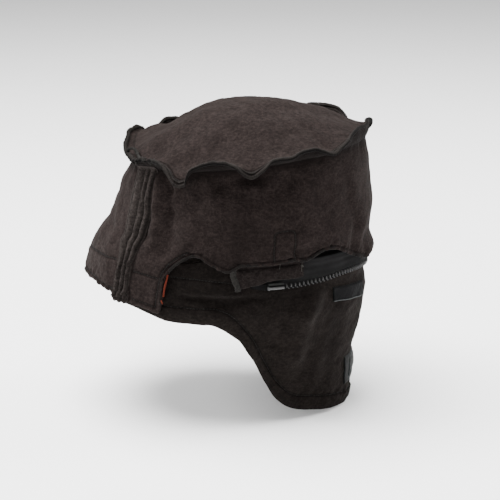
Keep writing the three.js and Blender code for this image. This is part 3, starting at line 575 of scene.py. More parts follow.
def pebbles(name, centres, x, y, z, sizes, square, material, slot, sides, rings, replaces=()):
    """Rounded bodies, one at each centre, along the directions x, y and z."""
    theta = np.linspace(0, 2 * math.pi, sides, endpoint=False)
    phi = np.linspace(-0.5 * math.pi, 0.5 * math.pi, rings + 1)[1:-1]

    def power(v):
        return np.sign(v) * np.abs(v) ** square

    unit_rows = [[(power(math.cos(p)) * power(math.cos(a)), power(math.cos(p)) * power(math.sin(a)),
                   power(math.sin(p))) for a in theta] for p in phi]
    shape = np.array([(0, 0, -1)] + [p for row in unit_rows for p in row] + [(0, 0, 1)], float)
    last = len(shape) - 1
    faces = [[0, 1 + (k + 1) % sides, 1 + k] for k in range(sides)]
    for r in range(len(phi) - 1):
        a, b = 1 + r * sides, 1 + (r + 1) * sides
        faces += [[a + k, a + (k + 1) % sides, b + (k + 1) % sides, b + k] for k in range(sides)]
    a = 1 + (len(phi) - 1) * sides
    faces += [[a + k, a + (k + 1) % sides, last] for k in range(sides)]
    sizes = np.broadcast_to(np.asarray(sizes, float), (len(centres), 3))
    verts = centres[:, None] + sum(
        shape[None, :, k, None] * sizes[:, None, k, None] * axis[:, None]
        for k, axis in enumerate((x, y, z)))
    every = [[v + n * len(shape) for v in f] for n in range(len(centres)) for f in faces]
    add_mesh(name, verts.reshape(-1, 3), every, material, replaces)


def stitches(name, lines, surface, material, pitch=2.7, length=2.1, radius=0.33, out=0.1,
             slot="overlock_thread"):
    """Rows of thread lying along lines of (t, z) on a surface."""
    centres, along, normal = [], [], []
    for line in lines:
        t, z = np.array(line, float).T
        share = np.linspace(0, 1, 60 * (len(line) - 1) + 1) * (len(line) - 1)
        fine_t, fine_z = np.interp(share, range(len(t)), t), np.interp(share, range(len(t)), z)
        path = surface(fine_t, fine_z, out)
        data = evenly(np.concatenate([path, fine_t[:, None], fine_z[:, None]], 1), pitch)
        t, z = data[:, 3:].T
        spot = surface(t, z, out)
        centres.append(spot)
        along.append(heading(spot))
        normal.append(unit(surface(t, z, out + 1) - spot))
    centres, along, normal = map(np.concatenate, (centres, along, normal))
    across = unit(np.cross(normal, along))
    pebbles(name, centres, along, across, normal, (length / 2, radius, radius), 0.8, material, slot,
            sides=8, rings=5)


# Materials


def linear(v):
    """A 0-255 display value as linear light."""
    v /= 255
    return v / 12.92 if v <= 0.04045 else ((v + 0.055) / 1.055) ** 2.4


class Paint:
    """Node material round one colour, given as 0-255 display values."""

    def __init__(self, name, rgb, rough, specular, sheen=0.0):
        self.rgb = rgb
        self.material = bpy.data.materials.new(name)
        self.material.use_nodes = True
        self.tree = self.material.node_tree
        self.shader = self.tree.nodes["Principled BSDF"].inputs
        self.shader["Roughness"].default_value = rough
        self.shader["Specular IOR Level"].default_value = specular
        self.shader["Sheen Weight"].default_value = sheen
        self.shader["Sheen Roughness"].default_value = 0.45
        self.shader["Sheen Tint"].default_value = (1.0, 0.9, 0.86, 1)
        self.where = self.node("ShaderNodeTexCoord").outputs

    def node(self, kind, inputs=None, **settings):
        made = self.tree.nodes.new(kind)
        for key, value in settings.items():
            setattr(made, key, value)
        for key, value in (inputs or {}).items():
            if isinstance(value, bpy.types.NodeSocket):
                self.tree.links.new(value, made.inputs[key])
            else:
                made.inputs[key].default_value = value
        return made

    def noise(self, size_mm, detail=2.0, stretch=None, rough=0.5):
        where = self.where["Object"]
        if stretch:
            where = self.node("ShaderNodeMapping", {"Vector": where, "Scale": stretch}).outputs[0]
        return self.node("ShaderNodeTexNoise", {"Vector": where, "Scale": 1000 / size_mm,
                                                "Detail": detail, "Roughness": rough}).outputs["Fac"]

    def maths(self, operation, a, b):
        return self.node("ShaderNodeMath", {0: a, 1: b}, operation=operation).outputs[0]

    def total(self, *parts):
        """Sum of sockets, each times its weight."""
        made = None
        for socket, weight in parts:
            term = self.maths("MULTIPLY", socket, weight)
            made = self.maths("ADD", made, term) if made else term
        return made

    def shade(self, gain):
        return (*(linear(v) * gain for v in self.rgb), 1.0)

    def colour(self, factor, stops, painted_shade_mix=None):
        """Shades at stops (place, gain); the last argument gives how strongly the painted shade attribute
        darkens it and to which gain.
        """
        ramp = self.node("ShaderNodeValToRGB", {"Fac": factor})
        elements = ramp.color_ramp.elements
        while len(elements) < len(stops):
            elements.new(0.5)
        for element, (place, gain) in zip(elements, stops):
            element.position, element.color = place, self.shade(gain)
        tone = ramp.outputs["Color"]
        if painted_shade_mix:
            amount, gain = painted_shade_mix
            # The attribute holds painted shade; the mix darkens the colour by it.
            dent_and_painted_shade = self.node("ShaderNodeAttribute", attribute_name="dent_and_painted_shade").outputs["Fac"]
            inputs = {0: self.maths("MULTIPLY", dent_and_painted_shade, amount), 6: tone, 7: self.shade(gain)}
            tone = self.node("ShaderNodeMix", inputs, data_type="RGBA").outputs[2]
        self.tree.links.new(tone, self.shader["Base Color"])

    def bump(self, height, distance_mm, strength):
        made = self.node("ShaderNodeBump", {"Height": height, "Distance": distance_mm * MM,
                                            "Strength": strength})
        normal = self.shader["Normal"]
        if normal.is_linked:
            self.tree.links.new(normal.links[0].from_socket, made.inputs["Normal"])
        self.tree.links.new(made.outputs["Normal"], normal)


def fleece(name, *rgb):
    paint = Paint(name, rgb, 0.95, 0.02, sheen=0.022)
    nap = paint.noise(1.7, 3.0, stretch=(0.9, 0.7, 1.0), rough=0.65)
    fibre = paint.noise(0.7)
    cloud = paint.noise(7, 3.0, stretch=(1.0, 0.7, 1.0))
    mixed = paint.total((nap, 0.5), (fibre, 0.3), (cloud, 0.2))
    paint.colour(mixed, [(0.39, 0.55), (0.5, 1), (0.61, 1.6)], (0.7, 0.2))
    paint.bump(nap, 0.6, 0.8)
    paint.bump(fibre, 0.3, 0.7)
    return paint.material


def thread(name, *rgb):
    paint = Paint(name, rgb, 0.85, 0.05, sheen=0.02)
    strand = paint.noise(0.8)
    mixed = paint.total((strand, 0.6), (paint.noise(5), 0.4))
    paint.colour(mixed, [(0.38, 0.6), (0.6, 1.3)], (0.85, 0.12))
    paint.bump(strand, 0.25, 0.6)
    return paint.material


# A full turn of a sine, for coordinates in metres and ribs in millimetres
TURN = 6283


def woven(name, *rgb, rough, across_mm, along_mm, rib, specular):
    """Cloth with ribs lengthways and crossways, on the mesh's own map."""
    paint = Paint(name, rgb, rough, specular)
    split = paint.node("ShaderNodeSeparateXYZ", {0: paint.where["UV"]}).outputs
    lengthways, crossways = [
        paint.maths("SINE", paint.maths("MULTIPLY", split[axis], TURN / rib_mm), 0.0)
        for axis, rib_mm in (("Y", across_mm), ("X", along_mm))]
    height = paint.maths("ADD", paint.total((lengthways, 0.35), (crossways, 0.15)), 0.5)
    mixed = paint.total((height, 0.55), (paint.noise(4, 3.0), 0.45))
    paint.colour(mixed, [(0.25, 0.7), (0.75, 1.3)], (0.6, 0.35))
    paint.bump(height, rib, 0.8)
    return paint.material


def moulded(name, *rgb, rough):
    paint = Paint(name, rgb, rough, 0.6)
    grain = paint.noise(1.4, 3.0)
    paint.colour(paint.total((grain, 0.5), (paint.noise(6), 0.5)), [(0.35, 0.7), (0.65, 1.25)])
    paint.bump(grain, 0.12, 0.5)
    return paint.material


FLEECE = fleece("fleece", 27.5, 22.8, 21.6)
BAND_FLEECE = fleece("band_fleece", 33, 29.5, 28)
# A darker copy of the fleece, as painted shade, for the neck flap and the front facing, which lie in
# shade.
FLEECE_IN_PAINTED_SHADE = fleece("flap_fleece", 20.8, 18, 16.4)
FACING_FLEECE = fleece("facing_fleece", 26, 22.5, 21.5)
THREAD = thread("overlock_thread", 25.5, 23, 21.5)
EDGE_THREAD = thread("edge_thread", 19, 17, 16)
SEWING = thread("sewing_thread", 24, 23, 22)
PALE_THREAD = thread("pale_thread", 50, 49, 46)
LOOPS = thread("loose_thread", 28.5, 27.5, 26)
CORD = thread("zip_cord", 28, 29, 28)
PATCH_LINE = thread("patch_line", 60, 62, 62)
ZIP_TAPE = woven("zip_tape", 20, 20, 20, rough=0.85, across_mm=0.9, along_mm=0.7, rib=0.05,
                 specular=0.06)
ZIP_TEETH = moulded("zip_teeth", 26, 25.5, 25, rough=0.45)
ZIP_BOX = moulded("zip_box", 11, 11.5, 12, rough=0.5)
PATCH_CLOTH = woven("patch_cloth", 8.5, 9, 9.5, rough=0.8, across_mm=0.8, along_mm=0.8, rib=0.1,
                    specular=0.06)
LABEL_CLOTH = woven("label_cloth", 18, 19.5, 19.5, rough=0.7, across_mm=0.8, along_mm=0.8, rib=0.12,
                    specular=0.12)
ORANGE = woven("orange_tape", 78, 27, 15, rough=0.7, across_mm=0.9, along_mm=0.7, rib=0.15,
               specular=0.1)
ORANGE_THREAD = thread("orange_thread", 74, 30, 19)

# Crown: dome and the flange's upper layer in one cloth
CROWN_COLUMNS = 600
DOME_ROWS = 56
LAYER = 1.25
RIM_THICK = 1.5
SWELL = 7.5
FAR_SWELL = 9.0


def thinned(rows, stride):
    keep = list(range(0, len(rows), stride))
    if keep[-1] != len(rows) - 1:
        keep.append(len(rows) - 1)
    return rows[keep]


def crown_cloth():
    t = np.linspace(0, 360, CROWN_COLUMNS, endpoint=False)
    line, below, lift, wide = flange_line(t)
    seam = line[0]
    seam_z = seam[:, 2]
    out = off_body(t, seam_z)
    outer, inner, painted_shades = [], [], []
    pull = np.clip(lift, -60, 80) / 60
    ahead = bell(np.mod(t + 186, 360) - 180, 32)
    far = FAR_SWELL * bell(t - 338, 11)
    for u in np.linspace(0, 1, DOME_ROWS):
        z = CLOTH + (seam_z - CLOTH) * u**CROWN_ROUND
        p = np.stack([seam[:, 0] * u, seam[:, 1] * u, z], -1)
        rise = (CLOTH - seam_z) * CROWN_ROUND * max(u, 1e-4) ** (CROWN_ROUND - 1)
        n = unit(np.stack([out[:, 0] * rise, out[:, 1] * rise, np.hypot(*seam[:, :2].T)], -1))
        calm = min(1, 4 * u)
        high = calm * (0.8 * wobble(p, 42, 32) + 0.25 * wobble(p, 13, 33))
        high += 0.07 * wobble(p, 3.6, 34)
        near = math.exp(-(1 - u) / 0.13)
        high += near * (0.35 * wobble(p, 10, 35) + 1.3 * pull)
        swell = SWELL * ahead * bell(u - 1, 0.22) + far * bell(u - 1, 0.12)
        outer.append(p + n * high[:, None] + UP * swell[:, None])
        thick = CLOTH * (1 + 0.25 * u * u) + (LAYER - 1.25 * CLOTH) * smooth(0.93, 1, u)
        inner.append(p + UP * (0.8 * swell * (1 - smooth(0.9, 1, u)) - thick)[:, None])
        painted_shades.append(0 * t)
    swell = SWELL * ahead + far
    start = outer[-1] - seam - UP * swell[:, None]
    for k in range(1, FLANGE_ROWS + 1):
        q = k / FLANGE_ROWS
        ripple = 0.3 * wobble(line[k], 9, 36) * q * (1 - q) * 3 + 0.06 * wobble(line[k], 3.5, 37)
        outer.append(line[k] - below[k] * (ripple + swell * (1 - q) ** 1.3)[:, None]
                     + start * (1 - q) ** 2)
        inner.append(line[k] + below[k] * (LAYER - 0.45 * q - ripple)[:, None])
        # Painted shade along the needle line, 4.5 mm in from the rim.
        needle = bell((1 - q) * wide - 4.5, 0.9)
        painted_shades.append(1.1 * needle)
    soft = 4.0 + 4.5 * np.clip(lift, 0, 75) / 75 + 2.5 * ahead
    outer = eased(np.array(outer), DOME_ROWS - 1, soft, 24, 4.5)
    inner = thinned(eased(np.array(inner), DOME_ROWS - 1, soft, 24, 4.5), 3)
    shell("crown_cloth", outer, inner, FLEECE, ["crown", "crown_flange"],
          loop=True, peak=True, dent_and_painted_shade=np.array(painted_shades))


# Thread over the crown's rim: distance in from the rim, height, rib height
RIM_TOP = [
    (4.6, -0.4, 0), (4.3, -0.05, 0), (3.95, 0.1, 0), (3.6, 0.6, 0.3), (3.1, 0.85, 0.35),
    (2.65, 0.6, 0.3), (2.25, 0.0, 0), (1.9, -0.2, 0), (1.55, 0.0, 0), (1.2, 0.6, 0.3),
    (0.8, 0.85, 0.35), (0.35, 0.6, 0.3),
]
RIM_UNDER = [(0.3, 0.3, 0.3), (0.8, 0.35, 0.25), (1.3, 0.2, 0.1), (1.7, -0.4, 0)]
RIM_ROUND = 1.15
# Angle round the rim, how much painted shade; the downward side is darker
RIM_EDGE = [(60, 0), (30, 0.1), (0, 0.5), (-30, 0.95), (-60, 1.15)]


def crown_thread():
    t = np.linspace(0, 360, 6000, endpoint=False)
    rim_line = flange_line(t)[0][-1]
    gone = np.cumsum(np.linalg.norm(rim_line - np.roll(rim_line, 1, 0), axis=1))
    count = int(gone[-1] / 0.3)
    at = np.linspace(0, gone[-1], count, endpoint=False)
    t = np.interp(at, gone, t)
    line, below, _, wide = flange_line(t)
    column = np.arange(count)

    def place(d):
        k = np.clip((1 - d / wide) * FLANGE_ROWS, 0, FLANGE_ROWS)
        low = np.minimum(k.astype(int), FLANGE_ROWS - 1)
        u = (k - low)[:, None]
        return (line[low, column] * (1 - u) + line[low + 1, column] * u,
                unit(below[low, column] * (1 - u) + below[low + 1, column] * u))

    gathered = bell(t - 31, 12)
    uneven = 0.16 * wobble(line[-1], 7, 41) + 0.1 * wobble(line[-1], 2.3, 42)
    uneven += gathered * (1.1 * wobble(line[-1], 4.4, 43) + 0.5)
    rows, shade = [], []

    def rib(d, amount):
        return amount * (np.abs(np.sin(math.pi * (at / 1.3 + d * 0.25))) - 0.35)

    for d, high, ribs in RIM_TOP:
        p, down = place(d)
        rows.append(p - down * (high + rib(d, ribs) + (uneven if ribs else 0))[:, None])
        # Rows between the ribs get painted shade, as dark grooves.
        shade.append(1.0 if ribs == 0 else 0.35 * (ribs < 0.2))
    p, down = place(0.0)
    side = unit(line[-1] - line[-3])
    for a, dark in RIM_EDGE:
        a = math.radians(a)
        round_ = RIM_ROUND + rib(0, 0.3) + uneven
        rows.append(p + down * (RIM_THICK / 2 - round_ * math.sin(a))[:, None]
                    + side * (0.7 * round_ * math.cos(a))[:, None])
        shade.append(dark)
    for d, high, ribs in RIM_UNDER:
        p, down = place(d)
        rows.append(p + down * (RIM_THICK + high + rib(d, ribs))[:, None])
        # The rim's underside gets strong painted shade.
        shade.append(1.2)
    grid = np.array(rows)
    add_mesh("crown_overlock", grid.reshape(-1, 3), ring_faces(len(grid), count, True), THREAD,
             ["crown_edge"], dent_and_painted_shade=np.repeat(shade, count))


def gathered_loops():
    """Short loose loops of thread where the rim is gathered over the front seams."""
    rng = np.random.default_rng(47)
    count = 48
    t = rng.uniform(17, 46, count)
    line, below = flange_line(t)[:2]
    side = unit(line[-1] - line[-3])
    place = line[-1] + below[-1] * rng.uniform(-0.7, 2.6, (count, 1))
    place -= side * rng.uniform(-1.0, 2.0, (count, 1))
    along = unit(rng.normal(size=(count, 3)) + 1.2 * np.cross(side, below[-1]))
    across = unit(np.cross(along, side + 0.01))
    size = rng.uniform((0.9, 0.35, 0.35), (2.0, 0.55, 0.55), (count, 3))
    pebbles("gathered_thread", place, along, across, np.cross(along, across), size, 0.85, LOOPS,
            "overlock_thread", sides=8, rings=6)


def gathered_curl():
    """The rim's thread where it curls over itself at the front corner."""
    points = np.array([(22, -85.6, -37.5), (23, -86.9, -33.6), (25, -85.6, -30.6), (27, -82.6, -30),
                       (29, -80.2, -32), (33, -78.6, -34.2), (40, -76.5, -35)])
    step = np.arange(len(points))
    path = np.stack([curve(list(zip(step, points[:, k])))(np.linspace(0, step[-1], 80))
                     for k in range(3)], -1)
    up = np.broadcast_to(np.array([1.0, 0, 0.2]), path.shape)
    side = unit(np.cross(heading(path), up))
    overlock("gathered_curl", path, side, unit(up), 48, 0.8, 0.9, 0.9, LOOPS)


crown_thread()
gathered_loops()
gathered_curl()
crown_cloth()


def spaced_angles(low, first, last, count):
    """Angles that stand closer where the edge falls steeply."""
    t = np.linspace(first, last, 3000)
    steps = np.hypot(np.diff(t) * DEGREE, 0.5 * np.diff(low(mirrored(t)))) + 1e-6
    gone = np.concatenate([[0], np.cumsum(steps)])
    return np.interp(np.linspace(0, gone[-1], count), gone, t)


def wall_thick(t, z):
    inside = CLOTH + (HEM_THICK - CLOTH) * smooth(-103.5, -108, z)
    return np.where(mirrored(t) > 65.5, CLOTH, inside)


FLARE = 22.0
FLARE_DROPS = np.arange(FLARE, 2.9, -1.0)


def flare_eased(rows):
    return eased(rows, len(FLARE_DROPS), 2.6, FLARE - 3, 4)


def wall_cloth(name, t, low, rows, replaces):
    """The wall from its lower edge to FLARE below the seam, then out under the flange."""
    seam_z = seam_height(leaned(t, -38.0 + 0 * t))
    line, below = flange_line(leaned(t, seam_z))[:2]
    wall = [wall_at(leaned(t, seam_z - d), seam_z - d, 0) for d in FLARE_DROPS]
    thick = np.linspace(FLANGE_THICK, RIM_THICK, FLANGE_ROWS + 1)[:, None, None]
    flare = flare_eased(np.concatenate([wall, line + below * thick]))
    top = seam_z - FLARE - 1
    z = top + (low - top) * column(rows)
    at = leaned(t[None] + 0 * z, z)
    high, dent_and_painted_shade = wall_detail(at, z)
    base = wall_folds(at, z)
    outer = np.concatenate([flare[::-1], on_body(at, z, base + high)])
    drops = [wall_detail(leaned(t, seam_z - d), seam_z - d)[1] for d in FLARE_DROPS[::-1]]
    # Painted shade: strong on the flange's underside, fading down the wall just under it.
    dent_and_painted_shade = np.concatenate([0 * line[..., 0] + 1.4, drops, dent_and_painted_shade])
    shaded = dent_and_painted_shade[FLANGE_ROWS + 1:FLANGE_ROWS + 8]
    shaded[:] = np.maximum(shaded, np.linspace(1.2, 0.1, 7)[:, None])
    z = np.concatenate([(seam_z - FLARE_DROPS[::-1, None]), z])
    at = leaned(t[None] + 0 * z, z)
    inner = on_body(at, z, wall_folds(at, z) + folds(WALL_CREASES, at, z) - wall_thick(at, z))
    seat = np.linspace(LAYER + 0.1, LAYER - 0.4, FLANGE_ROWS + 1)[:, None, None]
    inner = np.concatenate([(line + below * seat)[::-1], inner])
    shell(name, outer, thinned(inner, 3), FLEECE, replaces, dent_and_painted_shade=dent_and_painted_shade)
    return outer, inner


front_t = np.linspace(-SIDE_LEAN, SIDE_LEAN, 170)
wall_cloth("front_cloth", front_t, front_low(np.abs(front_t)), 104, ["front_panel"])
side_t = spaced_angles(wall_low, SIDE_LEAN, 360 - SIDE_LEAN, 500)
side_edge = wall_cloth("side_cloth", side_t, wall_low(mirrored(side_t)), 84, ["side_back_wall"])


def edge_frames(outer, inner):
    """Path, side and up directions along the last row of a shell."""
    middle = (outer[-1] + inner[-1]) / 2
    along = heading(middle)
    up = unit(outer[-1] - inner[-1])
    side = turned(unit(np.cross(along, up)), outer[-1] - outer[-3])
    return middle, side, unit(turned(np.cross(side, along), up))


edged = mirrored(side_t) > 65
frames = [rows[edged] for rows in edge_frames(*side_edge)]
overlock("wall_overlock", *frames, 51, 0.8, 0.95, 0.8, EDGE_THREAD, ["wall_edge"])

# The band's height across it, then where its ridges and its lines of painted groove shade are and how
# strong
BAND_PROFILE = [
    (-0.1, 0.1), (-0.02, 0.1), (0.05, 1.4), (0.12, 2.8), (0.19, 3.0), (0.26, 2.0), (0.3, 0.8),
    (0.335, 0.1), (0.38, 1.5), (0.46, 2.9), (0.54, 2.9), (0.62, 1.6), (0.67, 0.2), (0.73, 2.0),
    (0.82, 3.1), (0.9, 3.2), (0.97, 2.0), (1.0, 0.6), (1.06, 0.2),
]
BEADED = ((0.16, 0.8), (0.5, 0.9), (0.86, 1.1))
DARK_LINES = ((-0.03, 0.8), (0.335, 0.8), (0.67, 0.8), (1.0, 0.9))
BAND_MIDDLE = 36.0
BAND_LOW = -130.9


def seam_band(name, sign, replaces):
    share = np.linspace(BAND_PROFILE[0][0], BAND_PROFILE[-1][0], 59)[None]
    seam_z = seam_height(np.array([BAND_MIDDLE]))[0]
    band = [curve(BAND_LINES, k) for k in (1, 2, 3, 4)]

    def angle(z, share):
        lines = [f(z) for f in band]
        thirds = np.clip(np.floor(share * 3), 0, 2)
        u = share * 3 - thirds
        first = np.select([thirds == 0, thirds == 1], lines[:2], lines[2])
        last = np.select([thirds == 0, thirds == 1], lines[1:3], lines[3])
        return first + (last - first) * u

    # The rows run under the flange at the top
    z = (seam_z - FLARE - np.arange(0, seam_z - FLARE - BAND_LOW, 0.35))[:, None]
    t = angle(z, share)
    base = on_body(t, z, wall_folds(t, z))
    normal = off_body(t, z)
    top_t = angle(seam_z - FLARE_DROPS[:, None], share)
    local = seam_height(top_t)
    wall = [on_body(top_t[i:i + 1], local[i:i + 1] - d,
                    wall_folds(top_t[i:i + 1], local[i:i + 1] - d))
            for i, d in enumerate(FLARE_DROPS)]
    line, below = flange_line(top_t[-1])[:2]
    reach = FLANGE_ROWS // 2
    rows = np.concatenate([np.concatenate(wall), line + below * FLANGE_THICK])
    flare = flare_eased(rows)[:len(FLARE_DROPS) + reach]
    down, across = np.gradient(flare, axis=(0, 1))
    flare_normal = turned(unit(np.cross(across, down)), flare * (1, 1, 0))
    base = np.concatenate([flare[::-1], base])
    normal = np.concatenate([flare_normal[::-1], normal])
    z = np.concatenate([np.interp(np.arange(len(flare)), [0, len(FLARE_DROPS), len(flare)],
                                  [seam_z - FLARE, seam_z, seam_z + 6])[::-1], z[:, 0]])[:, None]
    high = curve(BAND_PROFILE)(share + 0 * z)
    ridge = sum(bell(share - s, 0.06) * k for s, k in BEADED)
    bead = np.abs(np.sin(math.pi * z / 1.7 + 6 * share))
    high = high + ridge * (0.5 * bead + 0.35 * wobble(base, 5, 61) - 0.2)
    high += 0.15 * wobble(base, 2.6, 62) + smooth(-121, -128, z) * (1.3 * wobble(base, 4.5, 63) + 1.0)
    high *= smooth(seam_z + 5, seam_z - 2, z)
    # Painted shade in the grooves beside the ridges, weaker lower down.
    dent_and_painted_shade = sum(k * bell(share - s, 0.042) for s, k in DARK_LINES) + 0 * z
    dent_and_painted_shade = dent_and_painted_shade * (1 - 0.6 * smooth(-86, -104, z))
    outer = base + normal * np.maximum(high, 0.25)[..., None]
    inner = thinned(base - normal * 0.3, 3)
    for grid in (outer, inner):
        grid[..., 0] *= sign
    inner[-1] += outer[-1] - outer[-2]
    shell(name, outer, inner, BAND_FLEECE, replaces, dent_and_painted_shade=dent_and_painted_shade)


seam_band("seam_left", 1, ["left_front_seam"])
seam_band("seam_right", -1, ["right_front_seam"])

# Inner facing under the front hem
facing_t = np.linspace(-35, 35, 110)
facing_low = front_low(np.abs(facing_t)) - 2.2
facing_z = FRONT_FACING_TOP + (facing_low - FRONT_FACING_TOP) * column(26)
facing_p = on_body(facing_t, facing_z, 0)
facing_out = -HEM_THICK - 0.5 + 0.25 * wobble(facing_p, 8, 71)
facing_outer = on_body(facing_t, facing_z, facing_out)
facing_inner = on_body(facing_t, facing_z, facing_out - 1.6)
shell("front_facing_cloth", facing_outer, facing_inner, FLEECE_IN_PAINTED_SHADE, ["front_facing"])
overlock("front_facing_overlock", *edge_frames(facing_outer, facing_inner), 72, 1.8, 0.9, 1.0, THREAD)

# Facing strips between the wall and the zip
FACING = [
    (91.5, -106.2), (92.1, -110.8), (93.3, -115.5), (94.9, -116.6), (99, -115.4),
    (103.3, -113.9), (106, -112), (112, -111.6), (118.6, -111.4), (120.8, -110.6),
]
facing_edge = curve(FACING)


def facing_depth(m, share):
    seat = np.interp(share, [0, 0.35, 0.7, 1], [-2.9, -2.9, -1.9, -1.1])
    return seat + 1.0 * bell(m - 92.2, 1.6) * smooth(0.3, 0.7, share)


def facing_at(t, z, out):
    m = mirrored(t)
    share = np.clip((z - FACING_TOP) / (facing_edge(m) - FACING_TOP), 0, 1)
    return on_body(t, z, out + facing_depth(m, share))


def zip_facing(name, far, replaces):
    m = spaced_angles(facing_edge, 91.3, 120.8, 90)
    z = FACING_TOP + (facing_edge(m) - FACING_TOP) * column(44)
    t = (360 - m if far else m) + 0 * z
    p = on_body(t, z, 0)
    # Painted shade along a stitched line and under the wall's lower edge; both are also pressed in
    # slightly.
    line = to_line([(93.5, -104.4), (104, -103.4), (118, -102.6)], mirrored(t), z)
    dent_and_painted_shade = np.maximum(bell(line, 0.9), 0.8 * bell(z - wall_low(mirrored(t)) + 0.6, 1.2))
    high = 0.2 * wobble(p, 8, 81) + 0.06 * wobble(p, 3.4, 82) - 0.5 * dent_and_painted_shade
    outer = facing_at(t, z, high)
    inner = facing_at(t, z, -CLOTH + 0 * z)
    shell(name, outer, inner, FACING_FLEECE, replaces, dent_and_painted_shade=dent_and_painted_shade)


# The facing's front end, rolled and wrapped in thread: z, t
roll_t = curve([(-119.5, 94.6), (-115.7, 94), (-112.8, 93.1), (-110, 92.3), (-107.1, 91.6),
                (-102.5, 91.5)])
roll_z = np.linspace(-102.5, -119.5, 60)
roll_out = np.interp(roll_z, [-119.5, -116, -106.5, -102.5], [-3.4, -1.4, -1.2, -3.6])
for label, far in (("left", False), ("right", True)):
    zip_facing("zip_facing_" + label, far, ["zipper_facing_" + label])
    t = 360 - roll_t(roll_z) if far else roll_t(roll_z)
    path = on_body(t, roll_z, roll_out)
    up = off_body(t, roll_z)
    across = turned(unit(np.cross(heading(path), up)), (0, -1, 0))
    overlock("zip_facing_roll_" + label, path, across, up, 83, 1.8, 1.9, 1.6, LOOPS)

# Zip
tape_t = np.linspace(TAPE_START, 360 - TAPE_START, 232)
tape_m = mirrored(tape_t)
tape_end = tooth_z(tape_m) - TAPE_BELOW_TEETH
tape_z = TAPE_TOP + (tape_end - TAPE_TOP) * column(42)
tape_seat = zip_out(tape_m) + np.interp(tape_z, [-119, -111.8, -106.5, -101.3, TAPE_TOP],
                                        [-4.0, -4.3, -5.1, -4.9, -4.9])
tape_seat -= 3.1 * smooth(-101.3, -99, tape_z) * smooth(158, 146, tape_m)
nape = smooth(154, 168, tape_m) * smooth(-114, -110.5, tape_z)
tape_seat += nape * (0.9 + wall_folds(tape_t, tape_z))
tape_p = on_body(tape_t, tape_z, 0)
cord_ridge = bell(tape_z - tape_end - 3.6, 0.9)
tape_out = tape_seat + 0.16 * np.sin(2 * math.pi * tape_z / 4.4) + 0.3 * wobble(tape_p, 18, 91)
tape_outer = on_body(tape_t, tape_z, tape_out + 0.7 * cord_ridge)
tape_inner = on_body(tape_t, tape_z, tape_seat - 1.0)
# Painted shade: near the teeth, in a line across the tape, at its top behind the wall and at its front
# end.
tape_painted_shade = 1.2 * smooth(4.4, 2.8, tape_z - tape_end) + 0.3 * bell(tape_z + 106, 0.5)
tape_painted_shade += 1.6 * np.maximum(smooth(-101.2, -100.2, tape_z), smooth(106.6, 105.9, tape_m))
shell("zip_tape_cloth", tape_outer, tape_inner, ZIP_TAPE, ["zipper_tape"], dent_and_painted_shade=tape_painted_shade)


def teeth(name, offset, lift, size, out, replaces):
    """Half of the zip's teeth, at equal steps of length along the row."""
    t = np.linspace(TEETH_START, 360 - TEETH_START, 4000)
    path = on_body(t, tooth_z(mirrored(t)), 0)
    t = evenly(np.concatenate([path, t[:, None]], 1), TOOTH_PITCH)[:, 3]
    t = t[:-1] + np.diff(t).mean() * offset
    z = tooth_z(mirrored(t)) + lift
    centres = on_body(t, z, out + zip_out(mirrored(t)))
    normal = off_body(t, z)
    along = heading(centres)
    up = turned(unit(np.cross(normal, along)), UP)
    pebbles(name, centres, along, up, normal, size, 0.55, ZIP_TEETH, "zip_teeth", 14, 8, replaces)


teeth("zip_teeth_upper", 0.25, 0.6, (0.36, 1.25, 0.85), -3.1, ["zipper_teeth"])
teeth("zip_teeth_lower", 0.75, -1.25, (0.34, 0.5, 0.6), -3.5, [])

# Front ends: part, which spot, lift, size, squareness, material, slot
ZIP_END = [
    ("box", 0, 0, (0.9, 1.3, 1.1), 0.35, ZIP_BOX, "zip_teeth"),
    ("pin", 1, 0, (5.9, 0.95, 1.0), 0.3, ZIP_TEETH, "zip_teeth"),
    ("cord", 1, 2.9, (5.6, 0.8, 0.8), 0.4, CORD, "zip_tape"),
]
for label, t in (("left", np.array([106.5, 109.6])), ("right", 360 - np.array([106.5, 109.6]))):
    z = tooth_z(mirrored(t))
    spots = on_body(t, z, -2.2)
    normal = off_body(t, z)
    upright = np.broadcast_to(UP, normal.shape)
    for part, k, lift, size, square, material, slot in ZIP_END:
        ways = [rows[k:k + 1] for rows in (spots + lift * UP, unit(np.cross(UP, normal)), upright, normal)]
        replaced = ["zipper_end_" + label] if part == "box" else []
        pebbles(f"zip_{part}_{label}", *ways, size, square, material, slot, 16, 10, replaced)

# Neck flap with a folded hem
flap_t = spaced_angles(flap_low, FLAP_START, 360 - FLAP_START, 530)
m = mirrored(flap_t)
flap_z = np.concatenate([
    flap_top(m) + (flap_hem(m) - flap_top(m)) * column(70),
    flap_hem(m) + (flap_low(m) - flap_hem(m)) * column(16)[1:],
])
high, dent_and_painted_shade = flap_detail(flap_t + 0 * flap_z, flap_z)
# Painted shade on the upper flap under the wall, and in a strip down its side towards the nape.
dent_and_painted_shade = np.maximum(dent_and_painted_shade, 0.6 * smooth(-150, -124, flap_z) * smooth(140, 120, m))
dent_and_painted_shade = np.maximum(dent_and_painted_shade, 0.45 * bell(m - 142, 7) * smooth(-128, -140, flap_z)
                  * smooth(-196, -180, flap_z))
base, creased = [smooth(*FLAP_HELD, flap_z) * folds(rows, flap_t + 0 * flap_z, flap_z)
                 for rows in (FLAP_FOLDS, FLAP_CREASES)]
in_hem = np.clip((flap_hem(m) - flap_z) / (flap_hem(m) - flap_low(m)), 0, 1)
thick = CLOTH + (FLAP_HEM_THICK - CLOTH - FLAP_HEM_LIFT) * smooth(0, 0.14, in_hem)
flap_outer = on_form(flap_form, flap_t, flap_z, base + high)
flap_inner = on_form(flap_form, flap_t, flap_z, base + creased - thick)
shell("flap_cloth", flap_outer, flap_inner[::2], FLEECE_IN_PAINTED_SHADE, ["neck_flap"], dent_and_painted_shade=dent_and_painted_shade)


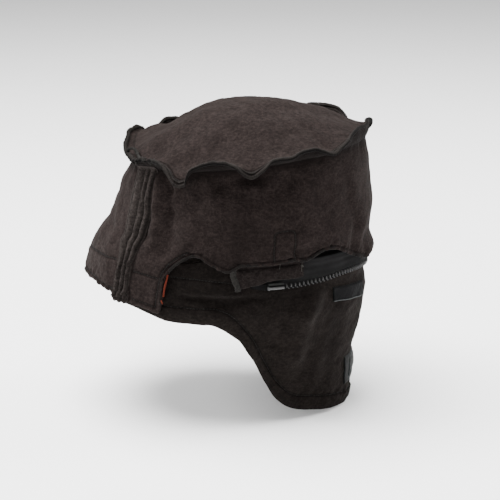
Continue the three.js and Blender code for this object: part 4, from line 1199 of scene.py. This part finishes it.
# Patches and label on the nape, all bare
def sewn_on(name, ts, top, low, replaces, lip, material):
    share = column(32)
    m = mirrored(ts)
    z = top(m) + (low(m) - top(m)) * share
    t = ts + 0 * z
    edge = np.minimum(np.minimum(share, 1 - share) * 12, 1)
    high = 0.35 + 0.8 * np.clip(edge * 3, 0, 1) ** 0.5 + lip(t, share)
    outer = flap_at(t, z, high + 0.2)
    inner = flap_at(t, z, 0 * z - 0.2)
    # Painted shade in two lines near the top and bottom edges.
    frame_line = bell(share - 0.08, 0.02) + bell(share - 0.92, 0.02)
    shell(name, outer, inner, material, replaces, dent_and_painted_shade=frame_line + 0 * z)


PATCH_FROM, PATCH_TO = 138, 163


def patch_top(m):
    return -125.4 - (m - PATCH_FROM) * 0.13


def patch_low(m):
    return -135.4 - (m - PATCH_FROM) * 0.16


def patch_lip(t, share):
    return 0.2 * bell(share - 0.97, 0.05) + 0 * t


for label, ends in (("left", (PATCH_FROM, PATCH_TO)), ("right", (360 - PATCH_TO, 360 - PATCH_FROM))):
    sewn_on("patch_" + label, np.linspace(*ends, 60), patch_top, patch_low, ["nape_patch_" + label],
            patch_lip, PATCH_CLOTH)


def label_lip(t, share):
    strip = smooth(163.5, 164.3, mirrored(t)) * smooth(0.1, 0.16, share) * smooth(0.82, 0.76, share)
    return 0.7 * strip


sewn_on("label", np.linspace(158.6, 201.4, 110), lambda m: -188.6 + 0 * m, lambda m: -210 + 0 * m,
        ["nape_label"], label_lip, LABEL_CLOTH)

# Orange loop tag at the tab's rear edge, with a bar tack below it
tag_z = np.linspace(-110, -124.5, 40)[:, None]
tag_side = np.linspace(0, 1, 12)[None]
tag_t = 65.2 - (-110 - tag_z) * 0.01 + tag_side * 0.6 + 0.12 * np.sin(tag_z / 3.1)
tag_bulge = 0.5 * np.sin(math.pi * tag_side) + 0.25 * np.sin(tag_z / 1.9)
shell("orange_tag", on_body(tag_t, tag_z, -0.9 + tag_bulge),
      on_body(tag_t, tag_z, -2.2 + 0 * tag_bulge), ORANGE, ["side_tag"])

# Stitches
def both(lines):
    return lines + [[(360 - t, z) for t, z in line] for line in lines]


def across_front(line):
    return [(-t, z) for t, z in line[::-1]] + line[1:]


stitches("wall_stitches", both([TAB_HEM, TAB_SIDE, TAB_LOW, PATCH_BOX])
         + [across_front(FRONT_HEM), across_front(FRONT_LOW)], wall_at, SEWING)
hem_run = np.concatenate([np.arange(40, 90, 3.0), np.arange(90, 116, 0.8), np.arange(116, 181, 3.0)])
hem_line = [(float(t), float(flap_hem(t))) for t in hem_run]
stitches("flap_stitches", both([hem_line, FLAP_BAND]), flap_at, SEWING)
stitches("facing_tacks", both([[(119.9, -99.6), (119.9, -107.5)], [(110.1, -99.8), (110.1, -104.5)]]),
         facing_at, PALE_THREAD, 1.3, 1.2, 0.22)
stitches("facing_dots", both([[(119.7, -103.4), (120.0, -104.3)]]), facing_at, PALE_THREAD,
         0.9, 1.2, 0.75, 0.7)
stitches("tag_tacks", both([[(65.1, -127.8), (65.5, -129.2)]]), wall_at, ORANGE_THREAD,
         1.1, 1.6, 0.45, 0.2)
patch_edge = [(t, float(patch_low(t)) + 0.3) for t in (138.2, 144, 150, 156, 162.8)]
stitches("patch_edges", both([patch_edge]), flap_at, PATCH_LINE, 1.1, 1.5, 0.36, 1.8, "patch_cloth")

# Stage, light and camera
def placed(name, data):
    made = bpy.data.objects.new(name, data)
    bpy.context.scene.collection.objects.link(made)
    return made


def look(made, place, target):
    made.location = place
    made.rotation_euler = (Vector(target) - Vector(place)).to_track_quat("-Z", "Y").to_euler()


FLOOR_HALF = 9
floor_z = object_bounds()[0].z - 0.0005
floor_mesh = bpy.data.meshes.new("floor")
corners = [(x * FLOOR_HALF, y * FLOOR_HALF, floor_z) for x, y in ((-1, -1), (1, -1), (1, 1), (-1, 1))]
floor_mesh.from_pydata(corners, [], [[0, 1, 2, 3]])
floor = placed("floor", floor_mesh)
floor_paint = Paint("floor", (255, 255, 255), 0.9, 0.2)
floor_paint.colour(floor_paint.noise(700, 1.0), [(0.3, 0.92), (0.7, 0.94)])
floor_mesh.materials.append(floor_paint.material)

world = bpy.data.worlds.new("studio")
bpy.context.scene.world = world
world.use_nodes = True
background = world.node_tree.nodes["Background"].inputs
background["Color"].default_value = (1, 1, 1, 1)
background["Strength"].default_value = 0.5


def area_light(name, place, target, size, power):
    data = bpy.data.lights.new(name, "AREA")
    data.shape, data.size, data.energy = "DISK", size, power
    look(placed(name, data), place, target)


area_light("top", (0.05, -0.3, 1.6), (0, 0, -0.1), 1.5, 142)
area_light("left", (0.05, -1.5, 0.7), (0, 0, -0.05), 1.0, 38)
area_light("right", (-0.4, 1.4, 0.6), (0, 0, -0.05), 0.9, 28)

camera_data = bpy.data.cameras.new("camera")
camera_data.lens = 107.03
camera = placed("camera", camera_data)
look(camera, (1.0574, 0, 0.1907), (0, 0, -0.1125))
bpy.context.scene.camera = camera
